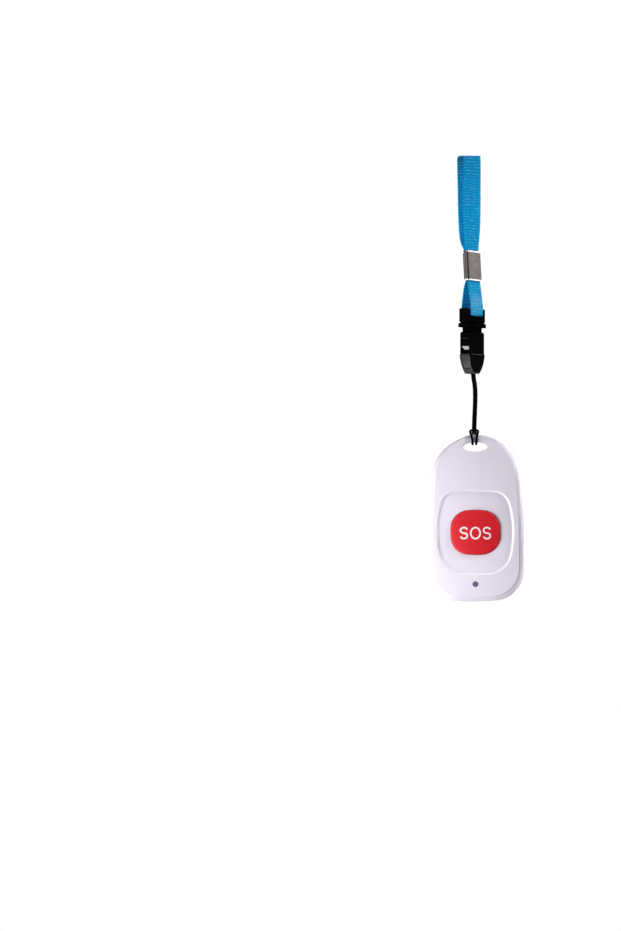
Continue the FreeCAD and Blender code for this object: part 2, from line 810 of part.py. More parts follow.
def button_cap():
    """Push button: domed crown in the opening, flange behind the wall, hollow with a post."""
    body = new_body("button_cap", case=True)
    seat = "flange_low + flange_thickness"
    flange = Drawing(body, "flange_outline", "XZ_Plane", "flange_low")
    cushion(flange, "button", "button_drop", "flange_width")
    pad(body, "flange", flange, "flange_thickness")
    crown = Drawing(body, "crown_outline", "XZ_Plane", seat)
    cushion(crown, "button", "button_drop")
    pad(body, "crown", crown, "front_wall + flange_gap + button_proud")

    dome = Drawing(body, "dome_profile", "YZ_Plane")
    dome.sketch.setExpression("AttachmentOffset.Base.y", bind("-button_drop"))
    top = "-front_depth - button_proud"
    reach = "(button_half_width + 3 * margin)"
    fall = f"(button_dome_radius - sqrt(button_dome_radius^2 - {reach}^2))"
    dome.polygon([
        (top, "0", "-button_dome_radius"),
        (f"{top} + {fall}", reach),
        (f"{top} - margin", reach),
        (f"{top} - margin", "0"),
    ])
    turned(body, "Groove", "dome", dome)

    def at_crown(point):
        return point.y < value("-front_depth")

    names = edge_names(body.Tip.Shape, FRONT, True, at_crown)
    soften(body, "Fillet", "crown_edge", "button_round", names)
    hollow = Drawing(body, "hollow_outline", "XZ_Plane", "flange_low")
    cushion(hollow, "button", "button_drop", "-button_wall")
    pocket(body, "hollow", hollow, "front_wall + flange_gap + flange_thickness - button_wall", flip=True)
    post = Drawing(body, "post_circle", "XZ_Plane", "flange_low")
    post.circle("0", "-button_drop", "post_radius")
    pad(body, "post", post, "front_wall + flange_gap + flange_thickness - button_wall + root")
    return body


def led_lens():
    """Clear light guide from the lamp to the face, held by a collar behind the wall."""
    body = new_body("led_lens", case=True)
    profile = Drawing(body, "lens_profile", "YZ_Plane")
    profile.sketch.setExpression("AttachmentOffset.Base.y", bind("-led_drop"))
    tip = "-front_depth + lens_sunk"
    wall = "-front_depth + front_wall"
    profile.polygon([
        (tip, "0"),
        (f"{wall} + lens_collar + lens_stem", "0"),
        (f"{wall} + lens_collar + lens_stem", "led_radius"),
        (f"{wall} + lens_collar", "led_radius"),
        (f"{wall} + lens_collar", "lens_collar_radius"),
        (wall, "lens_collar_radius"),
        (wall, "led_radius"),
        (f"{tip} + lens_edge", "led_radius", "+lens_dome_radius"),
    ])
    turned(body, "Revolution", "lens", profile)
    return body


# Circuit

def circuit_board():
    body = new_body("circuit_board", case=True)
    outline = Drawing(body, "board_outline", "XZ_Plane", "-board_back")
    egg(outline, CASE, "side_wall + board_gap", "-cavity_drop - board_gap")
    pad(body, "board", outline, "board_thickness")
    holes = screw_circles(body, "hole_circles", "board_front", "clearance_radius")
    pocket(body, "screw_holes", holes, "board_thickness")
    return body


def switch_body():
    """Tactile switch housing on four terminals, open towards the button."""
    body = new_body("switch_body", case=True)
    half = "switch_side / 2"
    outline = Drawing(body, "housing_outline", "XZ_Plane", "board_front")
    outline.box(f"-{half}", half, f"-button_drop - {half}", f"-button_drop + {half}")
    pad(body, "housing", outline, "switch_height")
    corners = [
        f"Edge{number}"
        for number, edge in enumerate(body.Tip.Shape.Edges, start=1)
        if abs(edge.Vertexes[0].Y - edge.Vertexes[1].Y) > value("switch_height / 2")
    ]
    soften(body, "Chamfer", "housing_corners", "switch_chamfer", corners)
    bore = Drawing(body, "bore_circle", "XZ_Plane", "board_front + switch_height")
    bore.circle("0", "-button_drop", "switch_bore_radius")
    pocket(body, "bore", bore, "switch_bore_depth")
    terminals = Drawing(body, "terminal_outlines", "XZ_Plane", "board_front")
    for side in ("-", ""):
        for row in ("-", "+"):
            middle = f"-button_drop {row} (switch_side / 2 - terminal_inset)"
            ends = [f"{side}({half} - root)", f"{side}({half} + terminal_length)"]
            left, right = ends if side == "" else reversed(ends)
            terminals.box(left, right, f"{middle} - terminal_width / 2", f"{middle} + terminal_width / 2")
    pad(body, "terminals", terminals, "terminal_thickness")
    return body


def switch_cover():
    """Thin metal plate over the switch, with a hole for the plunger."""
    body = new_body("switch_cover", case=True)
    half = "(switch_side / 2 - cover_inset)"
    plate = Drawing(body, "cover_outline", "XZ_Plane", "board_front + switch_height")
    cut = "switch_chamfer"
    middle = "-button_drop"
    plate.polygon([
        (f"-{half} + {cut}", f"{middle} - {half}"),
        (f"{half} - {cut}", f"{middle} - {half}"),
        (half, f"{middle} - {half} + {cut}"),
        (half, f"{middle} + {half} - {cut}"),
        (f"{half} - {cut}", f"{middle} + {half}"),
        (f"-{half} + {cut}", f"{middle} + {half}"),
        (f"-{half}", f"{middle} + {half} - {cut}"),
        (f"-{half}", f"{middle} - {half} + {cut}"),
    ])
    plate.circle("0", middle, "cover_hole_radius")
    pad(body, "cover", plate, "cover_thickness")
    return body


def switch_plunger():
    """Plunger from the button's post into the switch, kept in by its collar."""
    body = new_body("switch_plunger", case=True)
    profile = Drawing(body, "plunger_profile", "YZ_Plane")
    profile.sketch.setExpression("AttachmentOffset.Base.y", bind("-button_drop"))
    tip = "-flange_low"
    shoulder = "-(board_front + switch_height) + plunger_gap"
    profile.polygon([
        (tip, "0"),
        (f"{shoulder} + plunger_collar", "0"),
        (f"{shoulder} + plunger_collar", "plunger_collar_radius"),
        (shoulder, "plunger_collar_radius"),
        (shoulder, "plunger_radius"),
        (f"{tip} + plunger_chamfer", "plunger_radius"),
        (tip, "plunger_radius - plunger_chamfer"),
    ])
    turned(body, "Revolution", "plunger", profile)
    return body


def led_chip():
    """Surface-mounted lamp under the lens: base with a smaller clear block on it."""
    body = new_body("led_chip", case=True)
    base = Drawing(body, "base_outline", "XZ_Plane", "board_front")
    length = "led_chip_length / 2"
    width = "led_chip_width / 2"
    base.box(f"-{length}", length, f"-led_drop - {width}", f"-led_drop + {width}")
    pad(body, "base", base, "led_chip_height / 2")
    top = Drawing(body, "window_outline", "XZ_Plane", "board_front")
    length = "led_window_length / 2"
    width = "led_window_width / 2"
    top.box(f"-{length}", length, f"-led_drop - {width}", f"-led_drop + {width}")
    pad(body, "window", top, "led_chip_height")
    return body


def encoder_chip():
    """Eight-lead encoder chip beside the switch, with a chamfered top and bent leads."""
    body = new_body("encoder_chip", case=True)
    outline = Drawing(body, "chip_outline", "XZ_Plane", "board_front + chip_standoff")
    middle = "-button_drop"
    length = "chip_length / 2"
    width = "chip_width / 2"
    outline.box(f"chip_x - {width}", f"chip_x + {width}", f"{middle} - {length}", f"{middle} + {length}")
    pad(body, "chip", outline, "chip_height")
    soften(body, "Chamfer", "chip_edge", "chip_chamfer", edge_names(body.Tip.Shape, FRONT, True, anywhere))
    for name, bottom, thickness, reach in (
        ("lead_feet", "board_front", "lead_thickness", "lead_length"),
        ("lead_legs", "board_front", "chip_height / 2 + chip_standoff", "lead_length / 2"),
    ):
        leads = Drawing(body, name + "_outline", "XZ_Plane", bottom)
        for side in ("-", "+"):
            near = f"chip_x {side} ({width} - root)"
            far = f"chip_x {side} ({width} + {reach})"
            left, right = (far, near) if side == "-" else (near, far)
            for step in range(4):
                row = f"{middle} + ({step} - 1.5) * lead_pitch"
                leads.box(left, right, f"{row} - lead_width / 2", f"{row} + lead_width / 2")
        pad(body, name, leads, thickness)
    return body


def obround(drawing, middle, length, width):
    """Slot-shaped outline lying across the case."""
    reach = f"({length} - {width}) / 2"
    radius = f"+{width} / 2 * 1.00001"
    half = f"{width} / 2"
    drawing.polygon([
        (f"-({reach})", f"{middle} - {half}"),
        (reach, f"{middle} - {half}", radius),
        (reach, f"{middle} + {half}"),
        (f"-({reach})", f"{middle} + {half}", radius),
    ])


def resonator_can():
    """Drawn metal can on a wider flange."""
    body = new_body("resonator_can", case=True)
    flange = Drawing(body, "flange_outline", "XZ_Plane", "board_front")
    obround(flange, "-can_drop", "(can_length + 2 * can_flange)", "(can_width + 2 * can_flange)")
    pad(body, "flange", flange, "can_flange")
    can = Drawing(body, "can_outline", "XZ_Plane", "board_front")
    obround(can, "-can_drop", "can_length", "can_width")
    pad(body, "can", can, "can_height")

    def at_top(point):
        return point.y < value("-board_front - can_height / 2")

    soften(body, "Fillet", "can_edge", "can_flange", edge_names(body.Tip.Shape, FRONT, True, at_top))
    return body


def output_transistor():
    """Three-lead transistor near the antenna."""
    body = new_body("output_transistor", case=True)
    outline = Drawing(body, "body_outline", "XZ_Plane", "board_front + transistor_standoff")
    middle = "-transistor_drop"
    length = "transistor_length / 2"
    width = "transistor_width / 2"
    outline.box(
        f"transistor_x - {length}", f"transistor_x + {length}", f"{middle} - {width}", f"{middle} + {width}"
    )
    pad(body, "body", outline, "transistor_height")
    leads = Drawing(body, "lead_outlines", "XZ_Plane", "board_front")
    for shift, side in (("- transistor_pitch / 2", "-"), ("+ transistor_pitch / 2", "-"), ("", "+")):
        near = f"{middle} {side} ({width} - root)"
        far = f"{middle} {side} ({width} + transistor_lead)"
        low, high = (far, near) if side == "-" else (near, far)
        middle_x = f"transistor_x {shift}"
        leads.box(f"{middle_x} - lead_width / 2", f"{middle_x} + lead_width / 2", low, high)
    pad(body, "leads", leads, "lead_thickness")
    return body


def chip_capacitors():
    """Row of small capacitors on the other side of the switch."""
    group = doc.addObject("Part::Compound", "chip_capacitors")
    group.Label = "chip_capacitors"
    blocks = []
    for step in range(4):
        block = doc.addObject("Part::Box", f"capacitor_{step + 1}")
        block.setExpression("Length", bind("capacitor_length"))
        block.setExpression("Width", bind("capacitor_height"))
        block.setExpression("Height", bind("capacitor_width"))
        block.setExpression("Placement.Base.x", bind("case_shift - capacitor_x - capacitor_length / 2"))
        block.setExpression("Placement.Base.y", bind("-board_front - capacitor_height"))
        drop = f"button_drop + ({step} - 1.5) * capacitor_pitch + capacitor_width / 2"
        block.setExpression("Placement.Base.z", bind(f"-case_drop - ({drop})"))
        blocks.append(block)
    group.Links = blocks
    return group


def antenna_loop():
    """Wire loop that stands off the board above the switch, soldered at both feet."""
    body = new_body("antenna_loop", case=True)
    spine = Drawing(body, "antenna_spine", "XY_Plane", "-antenna_drop")
    half = value("antenna_span / 2")
    foot = value("-board_front")
    top = value("-board_front - antenna_rise")
    bend = value("antenna_bend")
    left_spots = [(-half, foot), (-half, top + bend), (-half + bend, top)]
    spots = left_spots + [(-across, height) for across, height in reversed(left_spots)]
    down = spine.line(spots[0], spots[1])
    first = spine.arc((-half + bend, top + bend), bend, spots[1], spots[2])
    across = spine.line(spots[2], spots[3])
    second = spine.arc((half - bend, top + bend), bend, spots[3], spots[4])
    rise = spine.line(spots[4], spots[5])
    spine.join(down, first, kind="Tangent")
    spine.join(first, across, kind="Tangent")
    spine.join(across, second, kind="Tangent")
    spine.join(second, rise, kind="Tangent")
    spine.put(down, 1, "-antenna_span / 2", "-board_front")
    spine.put(rise, 2, "antenna_span / 2", "-board_front")
    spine.sketch.addConstraint(Sketcher.Constraint("Vertical", down))
    spine.sketch.addConstraint(Sketcher.Constraint("Vertical", rise))
    spine.put(across, 1, y="-board_front - antenna_rise")
    spine.hold("Radius", first, "antenna_bend")
    spine.hold("Radius", second, "antenna_bend")
    section = Drawing(body, "wire_circle", "XZ_Plane", "board_front")
    section.circle("-antenna_span / 2", "-antenna_drop", "antenna_wire / 2")
    wire = body.newObject("PartDesign::AdditivePipe", "wire")
    wire.Profile = section.sketch
    wire.Spine = (spine.sketch, [f"Edge{number}" for number in range(1, 6)])
    doc.recompute()
    return body


# Power

def coin_cell():
    """Coin cell behind the board, with its smaller cap towards the board."""
    body = new_body("coin_cell", case=True)
    near = "(board_back + cell_gap)"
    can = Drawing(body, "can_circle", "XZ_Plane", f"-{near} - cell_cap_height")
    can.circle("0", "-cell_drop", "cell_radius")
    pad(body, "can", can, "cell_thickness - cell_cap_height", flip=True)
    soften(body, "Fillet", "can_edge", "cell_round", edge_names(body.Tip.Shape, REAR, True, anywhere))
    cap = Drawing(body, "cap_circle", "XZ_Plane", f"-{near}")
    cap.circle("0", "-cell_drop", "cell_cap_radius")
    pad(body, "cap", cap, "cell_cap_height + root", flip=True)
    return body


def positive_contact():
    """Strap bent over the cell, with a foot on the board at each side."""
    body = new_body("positive_contact", case=True)
    profile = Drawing(body, "strap_profile", "XY_Plane", "-cell_drop + contact_width / 2")
    back = "board_back"
    seat = "cell_back"
    wall = "contact_thickness"
    profile.polygon([
        ("-contact_reach - contact_foot", back),
        ("-contact_reach", back),
        ("-contact_reach", seat),
        ("contact_reach", seat),
        ("contact_reach", back),
        ("contact_reach + contact_foot", back),
        ("contact_reach + contact_foot", f"{back} + {wall}"),
        (f"contact_reach + {wall}", f"{back} + {wall}"),
        (f"contact_reach + {wall}", f"{seat} + {wall}"),
        (f"-contact_reach - {wall}", f"{seat} + {wall}"),
        (f"-contact_reach - {wall}", f"{back} + {wall}"),
        ("-contact_reach - contact_foot", f"{back} + {wall}"),
    ])
    pad(body, "strap", profile, "contact_width", flip=True)
    return body


def negative_contact():
    """Sprung strip between the board and the cell's cap."""
    body = new_body("negative_contact", case=True)
    profile = Drawing(body, "spring_profile", "XY_Plane", "-cell_drop + spring_width / 2")
    back = "board_back"
    end = "spring_length / 2"
    crest = f"{back} + cell_gap"
    wall = "spring_thickness"
    profile.polygon([
        (f"-{end}", back),
        (f"-{end} / 2", back),
        ("-spring_crest", f"{crest} - {wall}"),
        ("spring_crest", f"{crest} - {wall}"),
        (f"{end} / 2", back),
        (end, back),
        (end, f"{back} + {wall}"),
        (f"{end} / 2 + spring_lean", f"{back} + {wall}"),
        ("spring_crest + spring_lean", crest),
        ("-spring_crest - spring_lean", crest),
        (f"-{end} / 2 - spring_lean", f"{back} + {wall}"),
        (f"-{end}", f"{back} + {wall}"),
    ])
    pad(body, "spring", profile, "spring_width", flip=True)
    return body


def case_screw(number, x, z):
    """Pan-head screw from the back into a boss of the front shell."""
    body = doc.addObject("PartDesign::Body", f"case_screw_{number}")
    body.setExpression("Placement.Base.x", bind(f"case_shift + ({x})"))
    body.setExpression("Placement.Base.z", bind(f"-case_drop + ({z})"))
    profile = Drawing(body, "screw_profile", "YZ_Plane")
    seat = "screw_seat"
    profile.polygon([
        (f"{seat} - screw_length", "0"),
        (f"{seat} + screw_head_height", "0", "-screw_crown_radius"),
        (f"{seat} + screw_head_side", "screw_head_radius"),
        (seat, "screw_head_radius"),
        (seat, "screw_radius"),
        (f"{seat} - screw_length + screw_point", "screw_radius"),
    ])
    turned(body, "Revolution", "screw", profile)
    cross = Drawing(body, "cross_outline", "XZ_Plane", f"-({seat} + screw_head_height)")
    arm = "screw_cross"
    half = "screw_slot / 2"
    cross.polygon([
        (f"-{half}", f"-{arm}"), (half, f"-{arm}"), (half, f"-{half}"), (arm, f"-{half}"),
        (arm, half), (half, half), (half, arm), (f"-{half}", arm),
        (f"-{half}", half), (f"-{arm}", half), (f"-{arm}", f"-{half}"), (f"-{half}", f"-{half}"),
    ])
    pocket(body, "cross", cross, "screw_slot_depth", flip=True)
    return body


def case_screws():
    group = doc.addObject("Part::Compound", "case_screws")
    group.Label = "case_screws"
    group.Links = [case_screw(number, x, z) for number, (x, z) in enumerate(SCREWS, start=1)]
    return group


# Lanyard

def rounded_path(points, radii, closed=False):
    """Straight runs joined by tangent arcs of the given radii at the inner points."""
    count = len(points)
    inner = range(count) if closed else range(1, count - 1)
    cuts = {}
    for index in inner:
        point = points[index]
        before = (points[index - 1] - point).normalize()
        after = (points[(index + 1) % count] - point).normalize()
        half_turn = (math.pi - before.getAngle(after)) / 2
        reach = radii[index] * math.tan(half_turn)
        bisector = (before + after).normalize()
        middle = point + bisector * (radii[index] / math.cos(half_turn) - radii[index])
        cuts[index] = (point + before * reach, middle, point + after * reach)
    edges = []
    last = count if closed else count - 1
    for index in range(last):
        following = (index + 1) % count
        start = cuts[index][2] if index in cuts else points[index]
        end = cuts[following][0] if following in cuts else points[following]
        edges.append(Part.LineSegment(start, end).toShape())
        if following in cuts:
            edges.append(Part.Arc(*cuts[following]).toShape())
    return Part.Wire(edges)


def beside(points, radii, out):
    """Closed rounded path at a distance outside a clockwise one that lies across X."""
    moved = []
    sizes = []
    for index, point in enumerate(points):
        before = (points[index - 1] - point).normalize()
        after = (points[(index + 1) % len(points)] - point).normalize()
        half_turn = (math.pi - before.getAngle(after)) / 2
        bisector = (before + after).normalize()
        bulging = 1 if before.cross(after).x > 0 else -1
        moved.append(point - bisector * (bulging * out / math.cos(half_turn)))
        sizes.append(radii[index] + bulging * out)
    return rounded_path(moved, sizes, closed=True)


def strap_webbing():
    """Flat ribbon in one endless loop: top fold, crimp, and round the buckle's bar."""
    thickness = value("ribbon_thickness")
    width = value("ribbon_width")
    pinch = thickness / 2 + value("ribbon_play")
    lead = value("ribbon_lead")
    held_lean = math.tan(math.radians(value("crimp_lean"))) * (value("crimp_height / 2") - lead)
    crimp_top = value("-crimp_drop")
    crimp_end = value("-crimp_drop - crimp_height")
    clear = thickness / 2 + value("ribbon_gap")
    bar_side = value("bar_depth / 2") + clear
    # for each bend: how far the loop's middle leans there, half the layers' distance, height, radius
    bends = [
        (value("ribbon_lean"), value("ribbon_spread"), -thickness / 2, value("ribbon_top_bend")),
        (value("shoulder_lean"), value("shoulder_spread"), crimp_top + value("shoulder_rise"),
         value("shoulder_bend")),
        (held_lean, pinch, crimp_top - lead, value("pinch_bend")),
        (-held_lean, pinch, crimp_end + lead, value("low_pinch_bend")),
        (0.0, value("low_shoulder_spread"), crimp_end - value("low_shoulder_drop"),
         value("low_shoulder_bend")),
        (0.0, bar_side, crimp_end - value("low_spread_drop"), value("low_spread_bend")),
        (0.0, bar_side, value("bar_low") - clear, value("bar_round") + clear),
    ]
    right = [Vector(-width / 2, lean + half, height) for lean, half, height, _ in bends]
    left = [Vector(-width / 2, lean - half, height) for lean, half, height, _ in reversed(bends)]
    points = right + left
    radii = [radius for *_, radius in bends + bends[::-1]]
    path = rounded_path(points, radii, closed=True)
    outer, inner = (Part.Face(beside(points, radii, out)) for out in (thickness / 2, -thickness / 2))
    band = outer.cut(inner).extrude(Vector(width, 0, 0))
    feature = doc.addObject("Part::Feature", "strap_webbing")
    feature.Label = "strap_webbing"
    feature.Shape = band
    feature.Placement = FreeCAD.Placement(Vector(), FreeCAD.Rotation(UP, value("hardware_turn")))
    print("ribbon length", round(path.Length, 1), "volume", round(band.Volume, 1))
    print("ribbon section times length", round(path.Length * thickness * width, 1))
    return feature


def rounded_box(drawing, half_x, half_y, radius):
    """Rectangle with round corners, centred on the origin."""
    near_x = f"{half_x} - {radius}"
    near_y = f"{half_y} - {radius}"
    bend = f"+{radius}"
    drawing.polygon([
        (f"-({near_x})", f"-{half_y}"),
        (near_x, f"-{half_y}", bend),
        (half_x, f"-({near_y})"),
        (half_x, near_y, bend),
        (near_x, half_y),
        (f"-({near_x})", half_y, bend),
        (f"-{half_x}", near_y),
        (f"-{half_x}", f"-({near_y})", bend),
    ])


def strap_crimp():
    """Sheet metal folded flat round both layers of the ribbon, open at one side; it leans with them."""
    body = new_body("strap_crimp")
    turn = FreeCAD.Rotation(UP, value("hardware_turn"))
    lean = FreeCAD.Rotation(Vector(-1, 0, 0), value("crimp_lean"))
    middle = Vector(0, 0, value("-crimp_drop - crimp_height / 2"))
    body.Placement = FreeCAD.Placement(Vector(), turn) * FreeCAD.Placement(Vector(), lean, middle)
    section = Drawing(body, "crimp_section", "XY_Plane", "-crimp_drop")
    rounded_box(section, "(crimp_width / 2)", "(crimp_depth / 2)", "crimp_round")
    inner_x = "(crimp_width / 2 - crimp_wall)"
    inner_y = "(crimp_depth / 2 - crimp_wall)"
    rounded_box(section, inner_x, inner_y, "(crimp_round - crimp_wall)")
    pad(body, "crimp", section, "crimp_height", flip=True)
    seam = Drawing(body, "seam_outline", "YZ_Plane", "crimp_wall - crimp_width / 2 + ribbon_play")
    half = "seam_width / 2"
    seam.box(f"-{half}", half, "-crimp_drop - crimp_height - margin", "-crimp_drop + margin")
    pocket(body, "seam", seam, "crimp_wall + margin")
    return body


def buckle_plug():
    """Upper half of the release buckle: posts and bar for the ribbon, flared flange, two
    sprung arms with side lugs, and a guide tongue."""
    body = new_body("buckle_plug", hardware=True)
    top = "-plug_drop"
    inner = "plug_half_width - post_width"
    head = Drawing(body, "head_outline", "XZ_Plane")
    head.polygon([
        ("-plug_half_width", top), ("-plug_half_width", "base_low"),
        ("plug_half_width", "base_low"), ("plug_half_width", top),
        (inner, top), (inner, "base_top"), (f"-({inner})", "base_top"), (f"-({inner})", top),
    ])
    pad(body, "head", head, "plug_depth", "Symmetric")
    soften(body, "Fillet", "head_edges", "head_round", edge_names(body.Tip.Shape, UP, True, anywhere))
    bar = Drawing(body, "bar_section", "YZ_Plane")
    half = "bar_depth / 2"
    bend = "bar_round"
    high = f"{top} - bar_drop"
    bar.polygon([
        (f"-{half}", f"bar_low + {bend}", f"+{bend}"),
        (f"-{half} + {bend}", "bar_low"),
        (f"{half} - {bend}", "bar_low", f"+{bend}"),
        (half, f"bar_low + {bend}"),
        (half, f"{high} - {bend}", f"+{bend}"),
        (f"{half} - {bend}", high),
        (f"-{half} + {bend}", high, f"+{bend}"),
        (f"-{half}", f"{high} - {bend}"),
    ])
    pad(body, "bar", bar, "2 * plug_half_width - post_width", "Symmetric")

    groove = Drawing(body, "groove_outline", "XZ_Plane")
    groove_half = "(plug_half_width - groove_inset)"
    groove.box(f"-{groove_half}", groove_half, "groove_low - root", "base_low + root")
    pad(body, "groove", groove, "plug_depth - 2 * groove_inset", "Symmetric")
    flare = Drawing(body, "flare_outline", "XZ_Plane")
    wide = "(plug_half_width + flare_width)"
    flare.polygon([
        (f"-{wide} + flare_chamfer", "flare_low"), (f"{wide} - flare_chamfer", "flare_low"),
        (wide, "flare_low + flare_edge"), ("plug_half_width", "groove_low"),
        ("-plug_half_width", "groove_low"), (f"-{wide}", "flare_low + flare_edge"),
    ])
    pad(body, "flare", flare, "plug_depth + 2 * flare_width", "Symmetric")

    neck = Drawing(body, "neck_outline", "XZ_Plane")
    neck.box("-neck_half_width", "neck_half_width", "neck_low", "flare_low + root")
    pad(body, "neck", neck, "neck_depth", "Symmetric")
    tongue = Drawing(body, "tongue_outline", "XZ_Plane")
    half = "tongue_width / 2"
    low = "(neck_low - tongue_length)"
    tongue.polygon([
        (f"-{half}", "neck_low + root"), (f"-{half}", f"{low} + tongue_chamfer"),
        (f"-{half} + tongue_chamfer", low), (f"{half} - tongue_chamfer", low),
        (half, f"{low} + tongue_chamfer"), (half, "neck_low + root"),
    ])
    pad(body, "tongue", tongue, "tongue_depth", "Symmetric")
    arms = Drawing(body, "arm_outlines", "XZ_Plane")
    outer = "(neck_half_width - arm_gap)"
    lug = f"({outer} + lug_proud)"
    for side in ("", "-"):
        corners = [
            (f"{side}({outer} - arm_thickness)", "neck_low + root"),
            (f"{side}({outer} - arm_thickness)", "arm_low"),
            (f"{side}({outer} - lug_tip)", "arm_low"),
            (f"{side}{lug}", "arm_low + lug_ramp"),
            (f"{side}{lug}", "lug_top"),
            (f"{side}{outer}", "lug_top"),
            (f"{side}{outer}", "neck_low + root"),
        ]
        arms.polygon(corners if side == "" else corners[::-1])
    pad(body, "arms", arms, "arm_depth", "Symmetric")
    return body


def buckle_socket():
    """Lower half of the release buckle: hollow block with side windows, and a tapered tip
    with sunk grips at its sides and a blind hole for the cord."""
    body = new_body("buckle_socket", hardware=True)
    hollow = "(neck_half_width + mouth_gap)"
    hollow_depth = "(neck_depth + 2 * mouth_gap)"
    half = f"({hollow} + side_wall_width)"
    tip = Drawing(body, "tip_outline", "XZ_Plane")
    wide = "tip_half_width"
    end = f"({wide} - tip_radius + sqrt(tip_radius^2 - tip_height^2))"
    tip.polygon([
        (f"-{end}", "socket_low"), (end, "socket_low", "+tip_radius"),
        (wide, "step"), (f"-{wide}", "step", "+tip_radius"),
    ])
    pad(body, "tip", tip, "tip_depth", "Symmetric")
    wedge = Drawing(body, "wedge_outlines", "YZ_Plane")
    deep = "tip_depth / 2"
    for side in ("", "-"):
        corners = [
            (f"{side}({deep})", "step - taper_start"),
            (f"{side}({deep} - tip_taper)", "socket_low - root"),
            (f"{side}({deep} + margin)", "socket_low - root"),
            (f"{side}({deep} + margin)", "step - taper_start"),
        ]
        wedge.polygon(corners if side == "" else corners[::-1])
    pocket(body, "wedges", wedge, "2 * (tip_half_width + margin)", "Symmetric")

    def on_flank(point):
        return abs(point.x) > value("root")

    for direction, name in ((FRONT, "tip_front_edges"), (REAR, "tip_rear_edges")):
        names = edge_names(body.Tip.Shape, direction, True, on_flank)
        soften(body, "Fillet", name, "socket_round", names)
    block = Drawing(body, "block_outline", "XZ_Plane")
    block.polygon([
        (f"-{half}", "step - root"), (half, "step - root"),
        (half, "socket_top - shoulder"), (f"{half} - shoulder", "socket_top"),
        (f"-{half} + shoulder", "socket_top"), (f"-{half}", "socket_top - shoulder"),
    ])
    pad(body, "block", block, f"{hollow_depth} + 2 * face_wall", "Symmetric")

    def on_block(point):
        return point.z > value("step + root")

    for direction, name in ((FRONT, "block_front_edges"), (REAR, "block_rear_edges")):
        names = edge_names(body.Tip.Shape, direction, True, on_block)
        soften(body, "Fillet", name, "socket_round", names)

    cavity = Drawing(body, "cavity_outline", "XZ_Plane")
    cavity.box(f"-{hollow}", hollow, "step - sill", "socket_top + margin")
    pocket(body, "cavity", cavity, hollow_depth, "Symmetric")
    window = Drawing(body, "window_outline", "YZ_Plane")
    window_half = "(arm_depth / 2 + window_gap)"
    window.box(f"-{window_half}", window_half, "window_low", "lug_top + latch_play")
    pocket(body, "windows", window, f"2 * ({half} + margin)", "Symmetric")

    grip_top = "(step - grip_start)"
    grip_low = f"({grip_top} - grip_height)"
    radius = "(tip_radius - grip_inset)"

    def sunk(level):
        return f"({wide} - tip_radius + sqrt({radius}^2 - ({level} - step)^2))"

    grips = Drawing(body, "grip_outlines", "XZ_Plane")
    grips.polygon([
        (sunk(grip_low), grip_low), (f"{wide} + margin", grip_low),
        (f"{wide} + margin", grip_top), (sunk(grip_top), grip_top, f"-{radius}"),
    ])
    grips.polygon([
        (f"-{sunk(grip_low)}", grip_low, f"-{radius}"), (f"-{sunk(grip_top)}", grip_top),
        (f"-{wide} - margin", grip_top), (f"-{wide} - margin", grip_low),
    ])
    pocket(body, "grips", grips, "grip_depth", "Symmetric")
    hole = Drawing(body, "cord_hole_circle", "XY_Plane", "socket_low")
    hole.circle("0", "0", "cord_hole_radius")
    pocket(body, "cord_hole", hole, "cord_hole_depth", flip=True)
    return body


# One half of the cord's route, from the buckle's hole down to the case, behind its bridge,
# forward through the lanyard hole and up to the bight that crosses in front
CORD_ROUTE = [
    (-0.20, -0.05, -86.1),
    (-0.18, -0.05, -92.8),
    (0.68, -0.06, -96.8),
    (0.84, -0.06, -102.0),
    (0.60, -0.04, -108.5),
    (0.40, 0.00, -112.6),
    (0.36, 0.00, -115.4),
    (0.35, 0.60, -117.10),
    (0.30, 3.70, -117.55),
    (0.20, 5.20, -119.80),
    (0.17, 4.90, -121.60),
    (0.17, 1.60, -121.75),
    (0.17, -2.00, -121.60),
    (0.15, -4.60, -121.75),
    (0.05, -4.95, -120.10),
    (-0.25, -4.05, -118.45),
    (-0.65, -2.30, -117.25),
    (-0.90, -1.05, -116.35),
    (-0.45, -0.95, -115.85),
]
CORD_RETURN = [
    (2.10, -0.95, -115.85),
    (2.55, -1.05, -116.35),
    (2.30, -2.30, -117.25),
    (1.95, -4.05, -118.45),
    (1.70, -4.95, -120.10),
    (1.69, -4.60, -121.75),
    (1.69, -2.00, -121.60),
    (1.69, 1.60, -121.75),
    (1.69, 4.90, -121.60),
    (1.62, 5.20, -119.80),
    (1.45, 3.70, -117.55),
    (1.32, 0.60, -117.10),
    (1.33, 0.02, -115.4),
    (1.38, 0.02, -112.6),
    (1.57, 0.04, -108.5),
    (1.81, 0.06, -102.0),
    (1.65, 0.06, -96.8),
    (0.79, 0.05, -92.8),
    (0.77, 0.05, -86.1),
]


# Share of the shorter run beside a bend that its arc takes up
BEND_SHARE = 0.45


